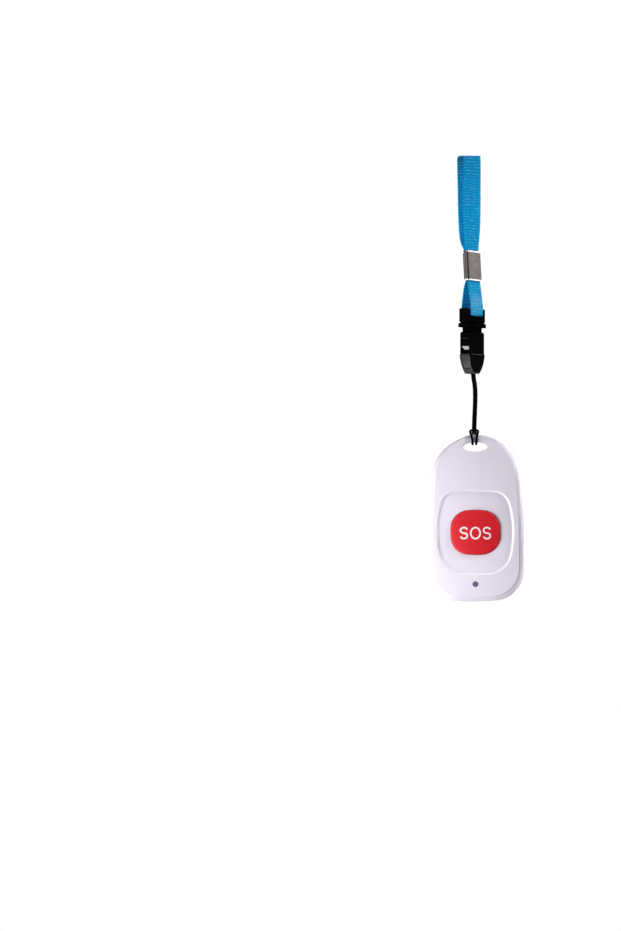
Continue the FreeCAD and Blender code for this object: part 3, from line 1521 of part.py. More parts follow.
def hanging_cord():
    """Thin cord, doubled from the buckle to the case and hitched through the lanyard hole."""
    points = [Vector(*point) for point in CORD_ROUTE + CORD_RETURN]
    radii = [0.0] * len(points)
    for index in range(1, len(points) - 1):
        before = points[index - 1] - points[index]
        after = points[index + 1] - points[index]
        half_turn = (math.pi - before.getAngle(after)) / 2
        radii[index] = BEND_SHARE * min(before.Length, after.Length) / math.tan(half_turn)
    print("cord arc radii", [round(radius, 2) for radius in radii[1:-1]])
    path = rounded_path(points, radii)
    radius = value("cord_diameter") / 2
    start = points[1] - points[0]
    section = Part.Wire(Part.makeCircle(radius, points[0], start))
    tube = path.makePipeShell([section], True, False)
    feature = doc.addObject("Part::Feature", "hanging_cord")
    feature.Label = "hanging_cord"
    feature.Shape = tube
    print("cord length", round(path.Length, 1), "volume", round(tube.Volume, 2))
    print("cord section times length", round(path.Length * math.pi * radius ** 2, 2))
    return feature


parts = [
    front_shell(),
    rear_shell(),
    button_cap(),
    led_lens(),
    circuit_board(),
    switch_body(),
    switch_cover(),
    switch_plunger(),
    led_chip(),
    encoder_chip(),
    resonator_can(),
    output_transistor(),
    chip_capacitors(),
    antenna_loop(),
    coin_cell(),
    positive_contact(),
    negative_contact(),
    case_screws(),
    strap_webbing(),
    strap_crimp(),
    buckle_plug(),
    buckle_socket(),
    hanging_cord(),
]
doc.recompute()

for item in doc.Objects:
    if "Invalid" in item.State or "Error" in item.State:
        raise ValueError(f"{item.Name} failed: {item.State}")
for part in parts:
    if part.Shape.isNull() or not part.Shape.isValid():
        raise ValueError(f"{part.Label} has no valid shape")

os.makedirs("parts", exist_ok=True)
for part in parts:
    part.Shape.exportStep(f"parts/{part.Label}.step")
    print(part.Label, len(part.Shape.Solids), round(part.Shape.Volume, 1))
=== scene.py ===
import json
import math

import bpy
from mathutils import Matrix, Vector


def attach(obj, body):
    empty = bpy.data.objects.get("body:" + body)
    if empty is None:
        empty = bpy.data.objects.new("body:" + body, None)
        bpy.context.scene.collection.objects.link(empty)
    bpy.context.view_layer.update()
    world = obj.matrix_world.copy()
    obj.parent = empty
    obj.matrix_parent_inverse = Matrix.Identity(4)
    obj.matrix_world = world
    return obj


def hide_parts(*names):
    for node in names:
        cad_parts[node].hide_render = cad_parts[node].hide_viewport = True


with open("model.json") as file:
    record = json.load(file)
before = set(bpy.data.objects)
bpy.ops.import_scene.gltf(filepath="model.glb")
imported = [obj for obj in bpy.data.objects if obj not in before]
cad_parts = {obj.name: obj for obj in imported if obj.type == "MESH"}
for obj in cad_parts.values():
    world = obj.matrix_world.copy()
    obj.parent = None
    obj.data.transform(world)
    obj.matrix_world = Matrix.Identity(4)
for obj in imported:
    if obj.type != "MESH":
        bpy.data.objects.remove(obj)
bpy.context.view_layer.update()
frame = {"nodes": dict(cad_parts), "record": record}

# Dressed model of the call pendant on its ribbon lanyard, in metres, in the solids' own frame:
# +Z up, front along -Y, origin at the top fold of the ribbon.

MM = 0.001
nodes = frame["nodes"]

# Photograph, in pixels: its frame, its scale and where the origin falls
FRAME_WIDTH = 621
FRAME_HEIGHT = 931
PIXELS_PER_MM = 2.371
ORIGIN_X = 472.2
ORIGIN_Y = 155.5

# Lengths and levels in millimetres, turns in degrees. TOP_TILT is a slope, and EDGE_SHARE is the
# share of the ribbon's thickness that is left at its very edges.
HARDWARE_TURN = 60.0
CRIMP_TOP = -40.4
CRIMP_HEIGHT = 12.5
CRIMP_LEAN = 3.4
CORD_DIAMETER = 0.9
CASE_X = 1.35
BUTTON_Z = -158.8
CROWN_Y = -7.9
CROWN_RADIUS = 75.0
LETTER_PROUD = 0.03

RIBBON_TOP_TURN = 44.0
RIBBON_TWIST_END = -20.0
RIBBON_WIDTH = 10.0
RIBBON_HALF = RIBBON_WIDTH / 2
RIBBON_THICKNESS = 0.5
RIB_PITCH = 1.215
RIB_HEIGHT = 0.04
SELVEDGE_LEFT = 0.25
SELVEDGE_RIGHT = 1.2
SELVEDGE_STEP = 0.25
SELVEDGE_EXTRA = 0.04
EDGE_ROUND = 0.16
EDGE_SHARE = 0.35
TOP_TILT = 0.08
TOP_TILT_DEPTH = 5.0

# Painted highlight on the ribbon's lower loop, a pale spot that stands in for sheen: its place
# across and along the weave, and its radius
LOOP_SHEEN_SPOT = (-0.6, 127.5, 5.5)

# Lowest and highest level of the buckle's gripped sides, of the hollow in them and of the flare
GRIP = (-92.4, -83.8)
GRIP_HOLLOW = (-90.9, -85.8)
FLARE = (-75.4, -67.0)


# Camera

def make_camera():
    """Level camera straight in front, shifted so that the part is where the photograph has it."""
    lens = 100.0
    sensor = 36.0
    height = FRAME_HEIGHT / PIXELS_PER_MM * MM
    data = bpy.data.cameras.new("camera")
    data.lens = lens
    data.sensor_width = sensor
    data.shift_x = -(ORIGIN_X - FRAME_WIDTH / 2) / FRAME_HEIGHT
    data.clip_start = 0.01
    camera = bpy.data.objects.new("camera", data)
    bpy.context.scene.collection.objects.link(camera)
    middle = (ORIGIN_Y - FRAME_HEIGHT / 2) / PIXELS_PER_MM * MM
    camera.location = (0, -height * lens / sensor, middle)
    camera.rotation_euler = (math.radians(90), 0, 0)
    bpy.context.scene.camera = camera


make_camera()


# Meshes

def add_mesh(name, points, faces, smooth=True):
    """Mesh object from points in millimetres."""
    mesh = bpy.data.meshes.new(name)
    mesh.from_pydata([Vector(point) * MM for point in points], [], faces)
    mesh.validate()
    for face in mesh.polygons:
        face.use_smooth = smooth
    thing = bpy.data.objects.new(name, mesh)
    bpy.context.scene.collection.objects.link(thing)
    return thing


def tube_faces(rings, around, capped=True):
    """Outward faces of a tube of rings of points, each ring turning with the tube's direction."""
    faces = []
    for low in range(0, (rings - 1) * around, around):
        high = low + around
        for number in range(around):
            beside = (number + 1) % around
            faces.append((low + number, low + beside, high + beside, high + number))
    if capped:
        first = tuple(range(around))
        faces.append(first[::-1])
        faces.append(tuple((rings - 1) * around + number for number in first))
    return faces


def route_points(name, route):
    """Points along the smooth curve whose control points are the route, in millimetres."""
    data = bpy.data.curves.new(name, "CURVE")
    data.dimensions = "3D"
    data.resolution_u = 24
    spline = data.splines.new("NURBS")
    spline.points.add(len(route) - 1)
    for point, place in zip(spline.points, route):
        point.co = (*(Vector(place) * MM), 1.0)
    spline.order_u = 3
    spline.use_endpoint_u = True
    curve = bpy.data.objects.new(name, data)
    bpy.context.scene.collection.objects.link(curve)
    bpy.context.view_layer.update()
    mesh = bpy.data.meshes.new_from_object(curve)
    points = [vertex.co / MM for vertex in mesh.vertices]
    bpy.data.objects.remove(curve)
    bpy.data.meshes.remove(mesh)
    return points


def evenly(points, step):
    """Points about a step apart along a line of points, and the line's length."""
    shortest = 1e-9
    reached = [0.0]
    for before, after in zip(points, points[1:]):
        reached.append(reached[-1] + (after - before).length)
    count = max(2, round(reached[-1] / step))
    spots = []
    index = 0
    for number in range(count + 1):
        wanted = reached[-1] * number / count
        while index < len(points) - 2 and reached[index + 1] < wanted:
            index += 1
        span = max(reached[index + 1] - reached[index], shortest)
        spots.append(points[index].lerp(points[index + 1], (wanted - reached[index]) / span))
    return spots, reached[-1]


def directions(points):
    """Direction of a line of points at each of them."""
    ends = [points[0]] + points + [points[-1]]
    return [(after - before).normalized() for before, after in zip(ends, ends[2:])]


# Cord

CORD_ROUTE = [
    (-0.20, -0.05, -86.1),
    (-0.18, -0.05, -92.8),
    (0.68, -0.06, -96.8),
    (0.84, -0.06, -102.0),
    (0.60, -0.04, -108.5),
    (0.40, 0.00, -112.6),
    (0.36, 0.00, -115.4),
    (0.35, 0.60, -117.10),
    (0.30, 3.70, -117.55),
    (0.20, 5.20, -119.80),
    (0.17, 4.90, -121.60),
    (0.17, 1.60, -121.75),
    (0.17, -2.00, -121.60),
    (0.15, -4.60, -121.75),
    (0.05, -4.95, -120.10),
    (-0.25, -4.05, -118.45),
    (-0.65, -2.30, -117.25),
    (-0.90, -1.05, -116.35),
    (-0.45, -0.95, -115.85),
    (2.10, -0.95, -115.85),
    (2.55, -1.05, -116.35),
    (2.30, -2.30, -117.25),
    (1.95, -4.05, -118.45),
    (1.70, -4.95, -120.10),
    (1.69, -4.60, -121.75),
    (1.69, -2.00, -121.60),
    (1.69, 1.60, -121.75),
    (1.69, 4.90, -121.60),
    (1.62, 5.20, -119.80),
    (1.45, 3.70, -117.55),
    (1.32, 0.60, -117.10),
    (1.33, 0.02, -115.4),
    (1.38, 0.02, -112.6),
    (1.57, 0.04, -108.5),
    (1.81, 0.06, -102.0),
    (1.65, 0.06, -96.8),
    (0.79, 0.05, -92.8),
    (0.77, 0.05, -86.1),
]


def make_cord():
    """Braided round cord: its surface swells where four strands cross four of the other slant."""
    step = 0.11
    sides = 20
    strands = 4
    braid_pitch = 2.6
    relief = 0.013
    cover = 0.058
    path, length = evenly(route_points("cord_route", CORD_ROUTE), step)
    ahead = directions(path)
    side = ahead[0].orthogonal().normalized()
    points = []
    along = 0.0
    for index, (centre, forward) in enumerate(zip(path, ahead)):
        if index:
            along += (centre - path[index - 1]).length
        side = (side - forward * side.dot(forward)).normalized()
        other = forward.cross(side)
        turn = 2 * math.pi * along / braid_pitch
        for number in range(sides):
            around = 2 * math.pi * number / sides
            left = math.cos(strands * around + turn)
            right = math.cos(strands * around - turn)
            swell = max(left, right) - 1
            radius = CORD_DIAMETER / 2 + cover + relief * swell
            out = side * math.cos(around) + other * math.sin(around)
            points.append(centre + out * radius)
    cord = add_mesh("neck_cord", points, tube_faces(len(path), sides))
    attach(cord, "pendant")
    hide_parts("hanging_cord")
    return cord


# Ribbon

# For each bend of the loop: how far its middle leans back, half the distance of its layers, level
RIBBON_BENDS = [
    (-0.07, 0.36, -47.8),
    (0.36, 0.36, -40.5),
    (0.90, 0.85, -38.7),
    (1.32, 1.28, -36.6),
    (1.38, 1.52, -32.0),
    (1.45, 1.68, -20.0),
    (1.57, 1.90, -6.0),
    (1.60, 1.93, -0.8),
    (1.60, 1.60, -0.27),
]
RIBBON_LOW_BENDS = [
    (-0.36, 0.36, -52.7),
    (-0.10, 0.95, -54.5),
    (0.0, 1.50, -58.0),
    (0.0, 2.32, -63.8),
    (0.0, 2.18, -66.2),
    (0.0, 2.15, -67.76),
]
RIBBON_END = (-0.12, -0.36, -48.6)

# Unevenness of the ribbon's edges and ribs, each wave by its height in millimetres, its radians
# a millimetre along, its radians from the middle to an edge, and its radians at the start
EDGE_WAVES = [
    (0.03, 1.7, 0.0, 0.0),
    (0.02, 4.3, 0.0, 1.0),
]
RIB_WAVES = [
    (0.2, 0.37, 1.1, 0.0),
    (0.1, 1.3, -2.1, 0.0),
]


def ribbon_turn(level):
    """Turn of the ribbon about the vertical: that of the crimp below, and less towards the top."""
    rise = (level - CRIMP_TOP) / (RIBBON_TWIST_END - CRIMP_TOP)
    share = 1 - (1 - min(1.0, max(0.0, rise))) ** 2
    return math.radians(HARDWARE_TURN + (RIBBON_TOP_TURN - HARDWARE_TURN) * share)


def ribbon_place(lean, across, level):
    """A point of the ribbon's middle line; the loop leans in the plane that the hardware turns."""
    hardware = math.radians(HARDWARE_TURN)
    turn = ribbon_turn(level)
    return (
        -lean * math.sin(hardware) - across * math.sin(turn),
        lean * math.cos(hardware) + across * math.cos(turn),
        level,
    )


def ribbon_route():
    """Once round the loop, from the middle of the crimp and back into it."""
    rising = [ribbon_place(lean, -half, level) for lean, half, level in RIBBON_BENDS]
    falling = [ribbon_place(lean, half, level) for lean, half, level in RIBBON_BENDS[::-1]]
    front = [ribbon_place(lean, half, level) for lean, half, level in RIBBON_LOW_BENDS]
    rear = [ribbon_place(lean, -half, level) for lean, half, level in RIBBON_LOW_BENDS[::-1]]
    return rising + falling + front + rear + [ribbon_place(*RIBBON_END)]


def unevenness(waves, along, share, start=0.0):
    """Sum of slow waves at a place along the ribbon and a share of its half width."""
    heights = (
        height * math.sin(rate * along + skew * share + phase)
        for height, rate, skew, phase in waves
    )
    return sum(heights, start)


def ribbon_height(share, woven):
    """How far the ribbon's surface stands off its middle plane."""
    inside = RIBBON_HALF - abs(share) * RIBBON_HALF
    selvedge = SELVEDGE_RIGHT if share > 0 else SELVEDGE_LEFT
    ribbed = min(1.0, max(0.0, (inside - selvedge) / SELVEDGE_STEP))
    rounded = math.sqrt(max(0.0, 1 - (1 - min(1.0, inside / EDGE_ROUND)) ** 2))
    thick = RIBBON_THICKNESS / 2 * (EDGE_SHARE + (1 - EDGE_SHARE) * rounded)
    thick += SELVEDGE_EXTRA * (1 - ribbed) * rounded
    return thick + RIB_HEIGHT / 2 * math.cos(2 * math.pi * woven / RIB_PITCH) * ribbed


def make_ribbon():
    """Woven ribbon in one loop: its weft ribs stand out, its selvedges are plain and thicker."""
    step = 0.2025
    columns = 36
    wavy_from = 0.9
    path, length = evenly(route_points("ribbon_route", ribbon_route()), step)
    shares = [-1 + 2 * column / columns for column in range(columns + 1)]
    points = []
    marks = []
    for index, (centre, forward) in enumerate(zip(path, directions(path))):
        along = length * index / (len(path) - 1)
        turn = ribbon_turn(centre.z)
        wide = Vector((math.cos(turn), math.sin(turn), 0))
        wide = (wide - forward * wide.dot(forward)).normalized()
        proud = wide.cross(forward)
        wave = unevenness(EDGE_WAVES, along, 0.0)
        tilt = TOP_TILT * max(0.0, 1 + centre.z / TOP_TILT_DEPTH)
        for face_side in (1, -1):
            for share in shares[::face_side]:
                woven = unevenness(RIB_WAVES, along, share, along)
                height = ribbon_height(share, woven)
                reach = share * RIBBON_HALF
                if abs(share) > wavy_from:
                    reach += math.copysign(1, share) * wave
                lift = Vector((0, 0, reach * tilt))
                points.append(centre + wide * reach + proud * height * face_side + lift)
                marks.append((share * RIBBON_HALF, woven))
    faces = tube_faces(len(path), 2 * (columns + 1))
    ribbon = add_mesh("woven_ribbon", points, faces)
    layer = ribbon.data.uv_layers.new(name="weave")
    for loop in ribbon.data.loops:
        layer.data[loop.index].uv = marks[loop.vertex_index]
    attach(ribbon, "strap")
    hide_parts("strap_webbing")
    return ribbon


cord = make_cord()
ribbon = make_ribbon()


# Legend

def stroke_outline(name, centreline, width, closed):
    """Flat stroke of even width along a centreline on the button's crown, a hair proud of it."""
    ahead = directions(centreline)
    if closed:
        ahead[0] = ahead[-1] = (centreline[1] - centreline[-2]).normalized()
    points = []
    for spot, forward in zip(centreline, ahead):
        out = Vector((-forward.y, forward.x))
        for side, lift in ((-1, -1), (1, -1), (1, 1), (-1, 1)):
            flat = spot + out * (side * width / 2)
            fall = CROWN_RADIUS - math.sqrt(CROWN_RADIUS ** 2 - flat.length_squared)
            depth = CROWN_Y + fall - lift * LETTER_PROUD
            points.append((CASE_X + flat.x, depth, BUTTON_Z + flat.y))
    faces = tube_faces(len(centreline), 4, capped=not closed)
    return add_mesh(name, points, faces, smooth=False)


def oval_arc(middle_x, middle_y, reach_x, reach_y, start, end, count=28):
    """Points along an oval from one angle to another, in degrees."""
    spots = []
    for index in range(count + 1):
        angle = math.radians(start + (end - start) * index / count)
        spot = (middle_x + reach_x * math.cos(angle), middle_y + reach_y * math.sin(angle))
        spots.append(Vector(spot))
    return spots


def make_legend():
    """Three printed letters of even stroke across the button."""
    stroke = 0.68
    tall = 5.3 - stroke
    narrow = 3.5 - stroke
    wide = 4.6 - stroke
    pitch = 4.83
    drop = 0.25
    bowl = tall / 4
    opening = 16
    letters = []
    for name, middle in (("letter_left", -pitch), ("letter_right", pitch)):
        upper = oval_arc(middle, bowl - drop, narrow / 2, bowl, opening, 270)
        lower = oval_arc(middle, -bowl - drop, narrow / 2, bowl, 90, opening - 180)
        letters.append(stroke_outline(name, upper + lower[1:], stroke, False))
    ring = oval_arc(0, -drop, wide / 2, tall / 2, 0, 360, 72)
    letters.append(stroke_outline("letter_middle", ring, stroke, True))
    for letter in letters:
        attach(letter, "button")
    return letters


legend = make_legend()


# Materials

# Between which values nearly all of a noise lies
NOISE_RANGE = (0.3, 0.7)


class Look:
    """A Principled material whose nodes are added one by one; sizes are in metres."""

    def __init__(self, name, colour, roughness, **more):
        self.material = bpy.data.materials.new(name)
        self.material.use_nodes = True
        self.tree = self.material.node_tree
        self.shader = self.tree.nodes["Principled BSDF"]
        self.give(Base_Color=(*colour, 1), Roughness=roughness, **more)
        self.place = self.add("ShaderNodeTexCoord").outputs["Object"]

    def plug(self, socket, amount):
        """Socket linked to another one, or set to a number, a vector or a colour."""
        if isinstance(amount, bpy.types.NodeSocket):
            self.tree.links.new(amount, socket)
        else:
            socket.default_value = amount

    def give(self, **inputs):
        """Inputs of the material's shader, with _ for the spaces in their names."""
        for key, amount in inputs.items():
            self.plug(self.shader.inputs[key.replace("_", " ")], amount)

    def add(self, kind, settings=(), **inputs):
        """A new node with its settings and inputs."""
        node = self.tree.nodes.new(kind)
        for key, amount in settings:
            setattr(node, key, amount)
        for key, amount in inputs.items():
            self.plug(node.inputs[key.replace("_", " ")], amount)
        return node

    def noise(self, size, detail=2.0, place=None):
        """Noise whose features are about a size in metres across."""
        node = self.add("ShaderNodeTexNoise", Scale=1 / size, Detail=detail)
        self.plug(node.inputs["Vector"], place or self.place)
        return node.outputs["Fac"]

    def stretched(self, scale):
        """Places in the object, drawn out by a scale below one."""
        node = self.add("ShaderNodeMapping", Scale=scale)
        self.plug(node.inputs["Vector"], self.place)
        return node.outputs["Vector"]

    def span(self, fac, low, high, from_low=0.0, from_high=1.0):
        """Number mapped from one range to another."""
        node = self.add(
            "ShaderNodeMapRange",
            Value=fac, From_Min=from_low, From_Max=from_high, To_Min=low, To_Max=high,
        )
        return node.outputs["Result"]

    def calculate(self, operation, first, second=0.0):
        """Result of an operation on two numbers."""
        node = self.add("ShaderNodeMath", [("operation", operation)])
        self.plug(node.inputs[0], first)
        self.plug(node.inputs[1], second)
        return node.outputs[0]

    def times(self, first, second):
        """Product of two numbers."""
        return self.calculate("MULTIPLY", first, second)

    def on_vectors(self, operation, first, second, output):
        """Result of an operation on two vectors."""
        node = self.add("ShaderNodeVectorMath", [("operation", operation)])
        self.plug(node.inputs[0], first)
        self.plug(node.inputs[1], second)
        return node.outputs[output]

    def band(self, level, limits):
        """One between two levels in millimetres, and nothing outside them."""
        low, high = (limit * MM for limit in limits)
        over = self.calculate("GREATER_THAN", level, low)
        return self.times(over, self.calculate("LESS_THAN", level, high))

    def around(self, across, along, spot):
        """One about a spot on the weave, fading to nothing at its radius."""
        middle_across, middle_along, radius = spot
        core = radius * 0.4
        side = self.calculate("SUBTRACT", across, middle_across)
        ahead = self.calculate("SUBTRACT", along, middle_along)
        squares = self.calculate("ADD", self.times(side, side), self.times(ahead, ahead))
        return self.span(self.calculate("SQRT", squares), 1.0, 0.0, core, radius)

    def mix(self, fac, first, second):
        """Colour between two others."""
        node = self.add("ShaderNodeMix", [("data_type", "RGBA")])
        self.plug(node.inputs[0], fac)
        for socket, colour in ((node.inputs[6], first), (node.inputs[7], second)):
            linked = isinstance(colour, bpy.types.NodeSocket)
            self.plug(socket, colour if linked else (*colour, 1))
        return node.outputs[2]

    def shade(self, pattern, first, second, low=NOISE_RANGE[0], high=NOISE_RANGE[1]):
        """Colour that turns from the first to the second as a pattern rises from low to high."""
        return self.mix(self.span(pattern, 0.0, 1.0, low, high), first, second)

    def bump(self, height, depth):
        """Relief so many metres deep, on top of the relief given before."""
        node = self.add("ShaderNodeBump", Height=height, Distance=depth, Strength=1.0)
        normal = self.shader.inputs["Normal"]
        if normal.is_linked:
            self.plug(node.inputs["Normal"], normal.links[0].from_socket)
        self.give(Normal=node.outputs["Normal"])

    def round_edges(self, radius):
        """Edges shaded as if rounded off; called before any bump."""
        self.give(Normal=self.add("ShaderNodeBevel", Radius=radius).outputs["Normal"])


def mottled(name, colour, roughness, cloud, shades, grain, depth, **more):
    """Colour that drifts between two shades in clouds, over a fine grain of some depth.

    The cloud and the grain are each a size and a detail.
    """
    look = Look(name, colour, roughness, **more)
    look.give(Base_Color=look.mix(look.noise(*cloud), *shades))
    look.bump(look.noise(*grain), depth)
    return look.material


def white_case():
    """Satin moulded plastic with the fine grain of an eroded mould, and painted rosy shade in its
    creases.
    """
    light_grey = (0.82, 0.768, 0.88)
    lighter_grey = (0.845, 0.795, 0.90)
    # Colour of the painted shade in creases and where parts meet
    rosy_crease_shade = (0.76, 0.66, 0.74)
    cloud_size = 0.012
    sheen_size = 0.0012
    grain_size = 0.00022
    grain_depth = 0.000008
    wave_size = 0.004
    wave_depth = 0.00003
    crease_reach = 0.0006
    look = Look("case_white", (0.80, 0.77, 0.85), 0.42, IOR=1.46)
    clean = look.shade(look.noise(cloud_size, 3.0), light_grey, lighter_grey)
    # Painted shade: ambient occlusion turns the colour rosy grey in creases, in recesses and where
    # parts meet.
    crease_shade = look.add("ShaderNodeAmbientOcclusion", [("samples", 8)], Distance=crease_reach)
    look.give(
        Base_Color=look.shade(crease_shade.outputs["AO"], rosy_crease_shade, clean, 0.45, 0.85),
        Roughness=look.span(look.noise(sheen_size), 0.36, 0.48, *NOISE_RANGE),
    )
    look.bump(look.noise(grain_size, 3.0), grain_depth)
    look.bump(look.noise(wave_size), wave_depth)
    return look.material


def red_button():
    """Matt red plastic with a fine spark grain."""
    deep_red = (0.58, 0.005, 0.013)
    bright_red = (0.79, 0.010, 0.023)
    speckle_size = 0.0005
    sheen_size = 0.0006
    grain_size = 0.0003
    grain_depth = 0.000015
    look = Look("button_red", (0.72, 0.016, 0.028), 0.5, IOR=1.46)
    look.give(
        Base_Color=look.shade(look.noise(speckle_size, 3.0), deep_red, bright_red, 0.35, 0.65),
        Roughness=look.span(look.noise(sheen_size), 0.44, 0.58, *NOISE_RANGE),
    )
    look.bump(look.noise(grain_size, 4.0), grain_depth)
    return look.material


def printed_white():
    """Ink of the letters."""
    look = Look("print_white", (0.88, 0.86, 0.88), 0.45)
    ink = look.shade(look.noise(0.0004), (0.86, 0.83, 0.85), (0.92, 0.90, 0.92), 0.4, 0.7)
    look.give(Base_Color=ink)
    look.bump(look.noise(0.0002), 0.000006)
    return look.material


def smoky_lens():
    """Smooth tinted plastic over the lamp."""
    look = Look("lens_smoke", (0.10, 0.10, 0.19), 0.3, IOR=1.5, Coat_Weight=0.4)
    look.give(Base_Color=look.shade(look.noise(0.0008), (0.12, 0.105, 0.21), (0.17, 0.15, 0.29)))
    look.bump(look.noise(0.0004), 0.000006)
    return look.material


def black_plastic():
    """Polished black moulding with faint flow marks; matt where it is gripped and on the flare."""
    black = (0.0008, 0.0008, 0.001)
    lighter_black = (0.002, 0.002, 0.0024)
    edge_radius = 0.00015
    flow_size = 0.0035
    flow_depth = 0.00001
    sheen_size = 0.0007
    grain_size = 0.00025
    grain_depth = 0.00001
    grip_inside = (0.0021, 0.0023)
    hollow_inside = (0.0016, 0.0018)
    hollow_dullness = 0.3
    gloss = 0.5
    look = Look("buckle_black", (0.001, 0.001, 0.0012), 0.14)
    look.round_edges(edge_radius)
    flow = look.noise(flow_size, 0.5, look.stretched((1.0, 1.0, 0.35)))
    spot = look.add("ShaderNodeSeparateXYZ", Vector=look.place)
    level = spot.outputs["Z"]
    turn = math.radians(HARDWARE_TURN)
    off_middle = look.times(spot.outputs["X"], -math.sin(turn))
    off_middle = look.calculate(
        "ADD", off_middle, look.times(spot.outputs["Y"], math.cos(turn)),
    )
    off_middle = look.calculate("ABSOLUTE", off_middle)
    gripped = look.times(look.span(off_middle, 1.0, 0.0, *grip_inside), look.band(level, GRIP))
    hollow = look.times(
        look.span(off_middle, 1.0, 0.0, *hollow_inside), look.band(level, GRIP_HOLLOW),
    )
    flare = look.band(level, FLARE)
    matt = look.calculate("MAXIMUM", gripped, flare)
    dull = look.calculate("MAXIMUM", look.times(hollow, hollow_dullness), flare)
    polished = look.span(look.noise(sheen_size, 3.0), 0.10, 0.14, *NOISE_RANGE)
    look.give(
        Base_Color=look.mix(flow, black, lighter_black),
        Roughness=look.span(matt, polished, 0.5),
        Specular_IOR_Level=look.span(dull, gloss, 0.0),
    )
    look.bump(flow, flow_depth)
    look.bump(look.times(look.noise(grain_size, 2.0), matt), grain_depth)
    return look.material


def black_cord():
    """Fine black threads, drawn out up and down, without any shine."""
    thread_size = 0.00012
    thread_depth = 0.00001
    look = Look("cord_black", (0.002, 0.002, 0.0025), 0.8, Specular_IOR_Level=0.0)
    thread = look.noise(thread_size, 3.0, look.stretched((1.0, 1.0, 0.5)))
    black = look.shade(thread, (0.001, 0.001, 0.0012), (0.006, 0.006, 0.0075), 0.35, 0.7)
    look.give(Base_Color=black)
    look.bump(thread, thread_depth)
    return look.material


def blue_ribbon():
    """Blue weft ribs with painted shade in their troughs, pale threads showing here and there on
    their crests, plainer selvedges, and a painted highlight on the lower loop.

    A little light passes through the thin weave. The pattern lies on the weave, in millimetres;
    only the depths of the relief are in metres.
    """
    blue = (0.0002, 0.18, 0.38)
    lighter_blue = (0.0004, 0.21, 0.43)
    selvedge_blue = (0.003, 0.25, 0.40)
    # Colour of the painted shade in the troughs between the ribs
    trough_shade_blue = (0.0004, 0.15, 0.33)
    pale_blue = (0.16, 0.40, 0.58)
    # Pale colour of the painted highlight on the lower loop, and how much of it is mixed in
    painted_sheen_blue = (0.15, 0.32, 0.44)
    sheen_share = 0.55
    warp_pitch = 0.42
    pick_pitch = 0.2
    patch_size = 2.2
    cloud_size = 3.0
    hair_size = 0.12
    warp_depth = 0.00003
    hair_depth = 0.00002
    look = Look(
        "webbing_blue", (0.001, 0.27, 0.53), 0.6, Specular_IOR_Level=0.02,
        Subsurface_Weight=0.7, Subsurface_Radius=(0.06, 0.95, 0.95), Subsurface_Scale=0.0012,
    )
    weave = look.add("ShaderNodeUVMap", [("uv_map", "weave")]).outputs["UV"]
    split = look.add("ShaderNodeSeparateXYZ", Vector=weave)
    across = split.outputs["X"]
    along = split.outputs["Y"]
    rib, warp, pick = (
        look.calculate("COSINE", look.times(place, 2 * math.pi / pitch))
        for place, pitch in ((along, RIB_PITCH), (across, warp_pitch), (along, pick_pitch))
    )
    left = SELVEDGE_LEFT - RIBBON_HALF
    right = RIBBON_HALF - SELVEDGE_RIGHT
    ribbed = look.times(
        look.span(across, 0.0, 1.0, left, left + SELVEDGE_STEP),
        look.span(across, 1.0, 0.0, right - SELVEDGE_STEP, right),
    )
    patch = look.noise(patch_size, 3.0, weave)
    pale = look.times(look.span(rib, 0.0, 1.0, 0.55, 1.0), ribbed)
    pale = look.times(pale, look.span(patch, 0.12, 1.0, 0.48, 0.68))
    pale = look.times(pale, look.span(warp, 0.6, 1.0, -1.0, 0.5))
    # Painted shade: the troughs between the ribs are coloured darker than their crests.
    trough_shade = look.times(look.span(rib, 0.6, 0.0, -1.0, 0.0), ribbed)
    # Painted highlight: a pale spot on the front of the lower loop stands in for sheen, broken up
    # by the patch noise.
    painted_sheen = look.around(across, along, LOOP_SHEEN_SPOT)
    painted_sheen = look.times(painted_sheen, look.span(patch, 0.25, 1.0, 0.4, 0.62))
    colour = look.shade(look.noise(cloud_size, 3.0, weave), blue, lighter_blue)
    colour = look.mix(ribbed, selvedge_blue, colour)
    colour = look.mix(trough_shade, colour, trough_shade_blue)
    colour = look.mix(pale, colour, pale_blue)
    look.give(Base_Color=look.mix(look.times(painted_sheen, sheen_share), colour, painted_sheen_blue))
    uneven = look.calculate("ADD", look.times(pick, 0.3), 0.7)
    look.bump(look.times(warp, uneven), warp_depth)
    look.bump(look.noise(hair_size, 2.0, weave), hair_depth)
    return look.material


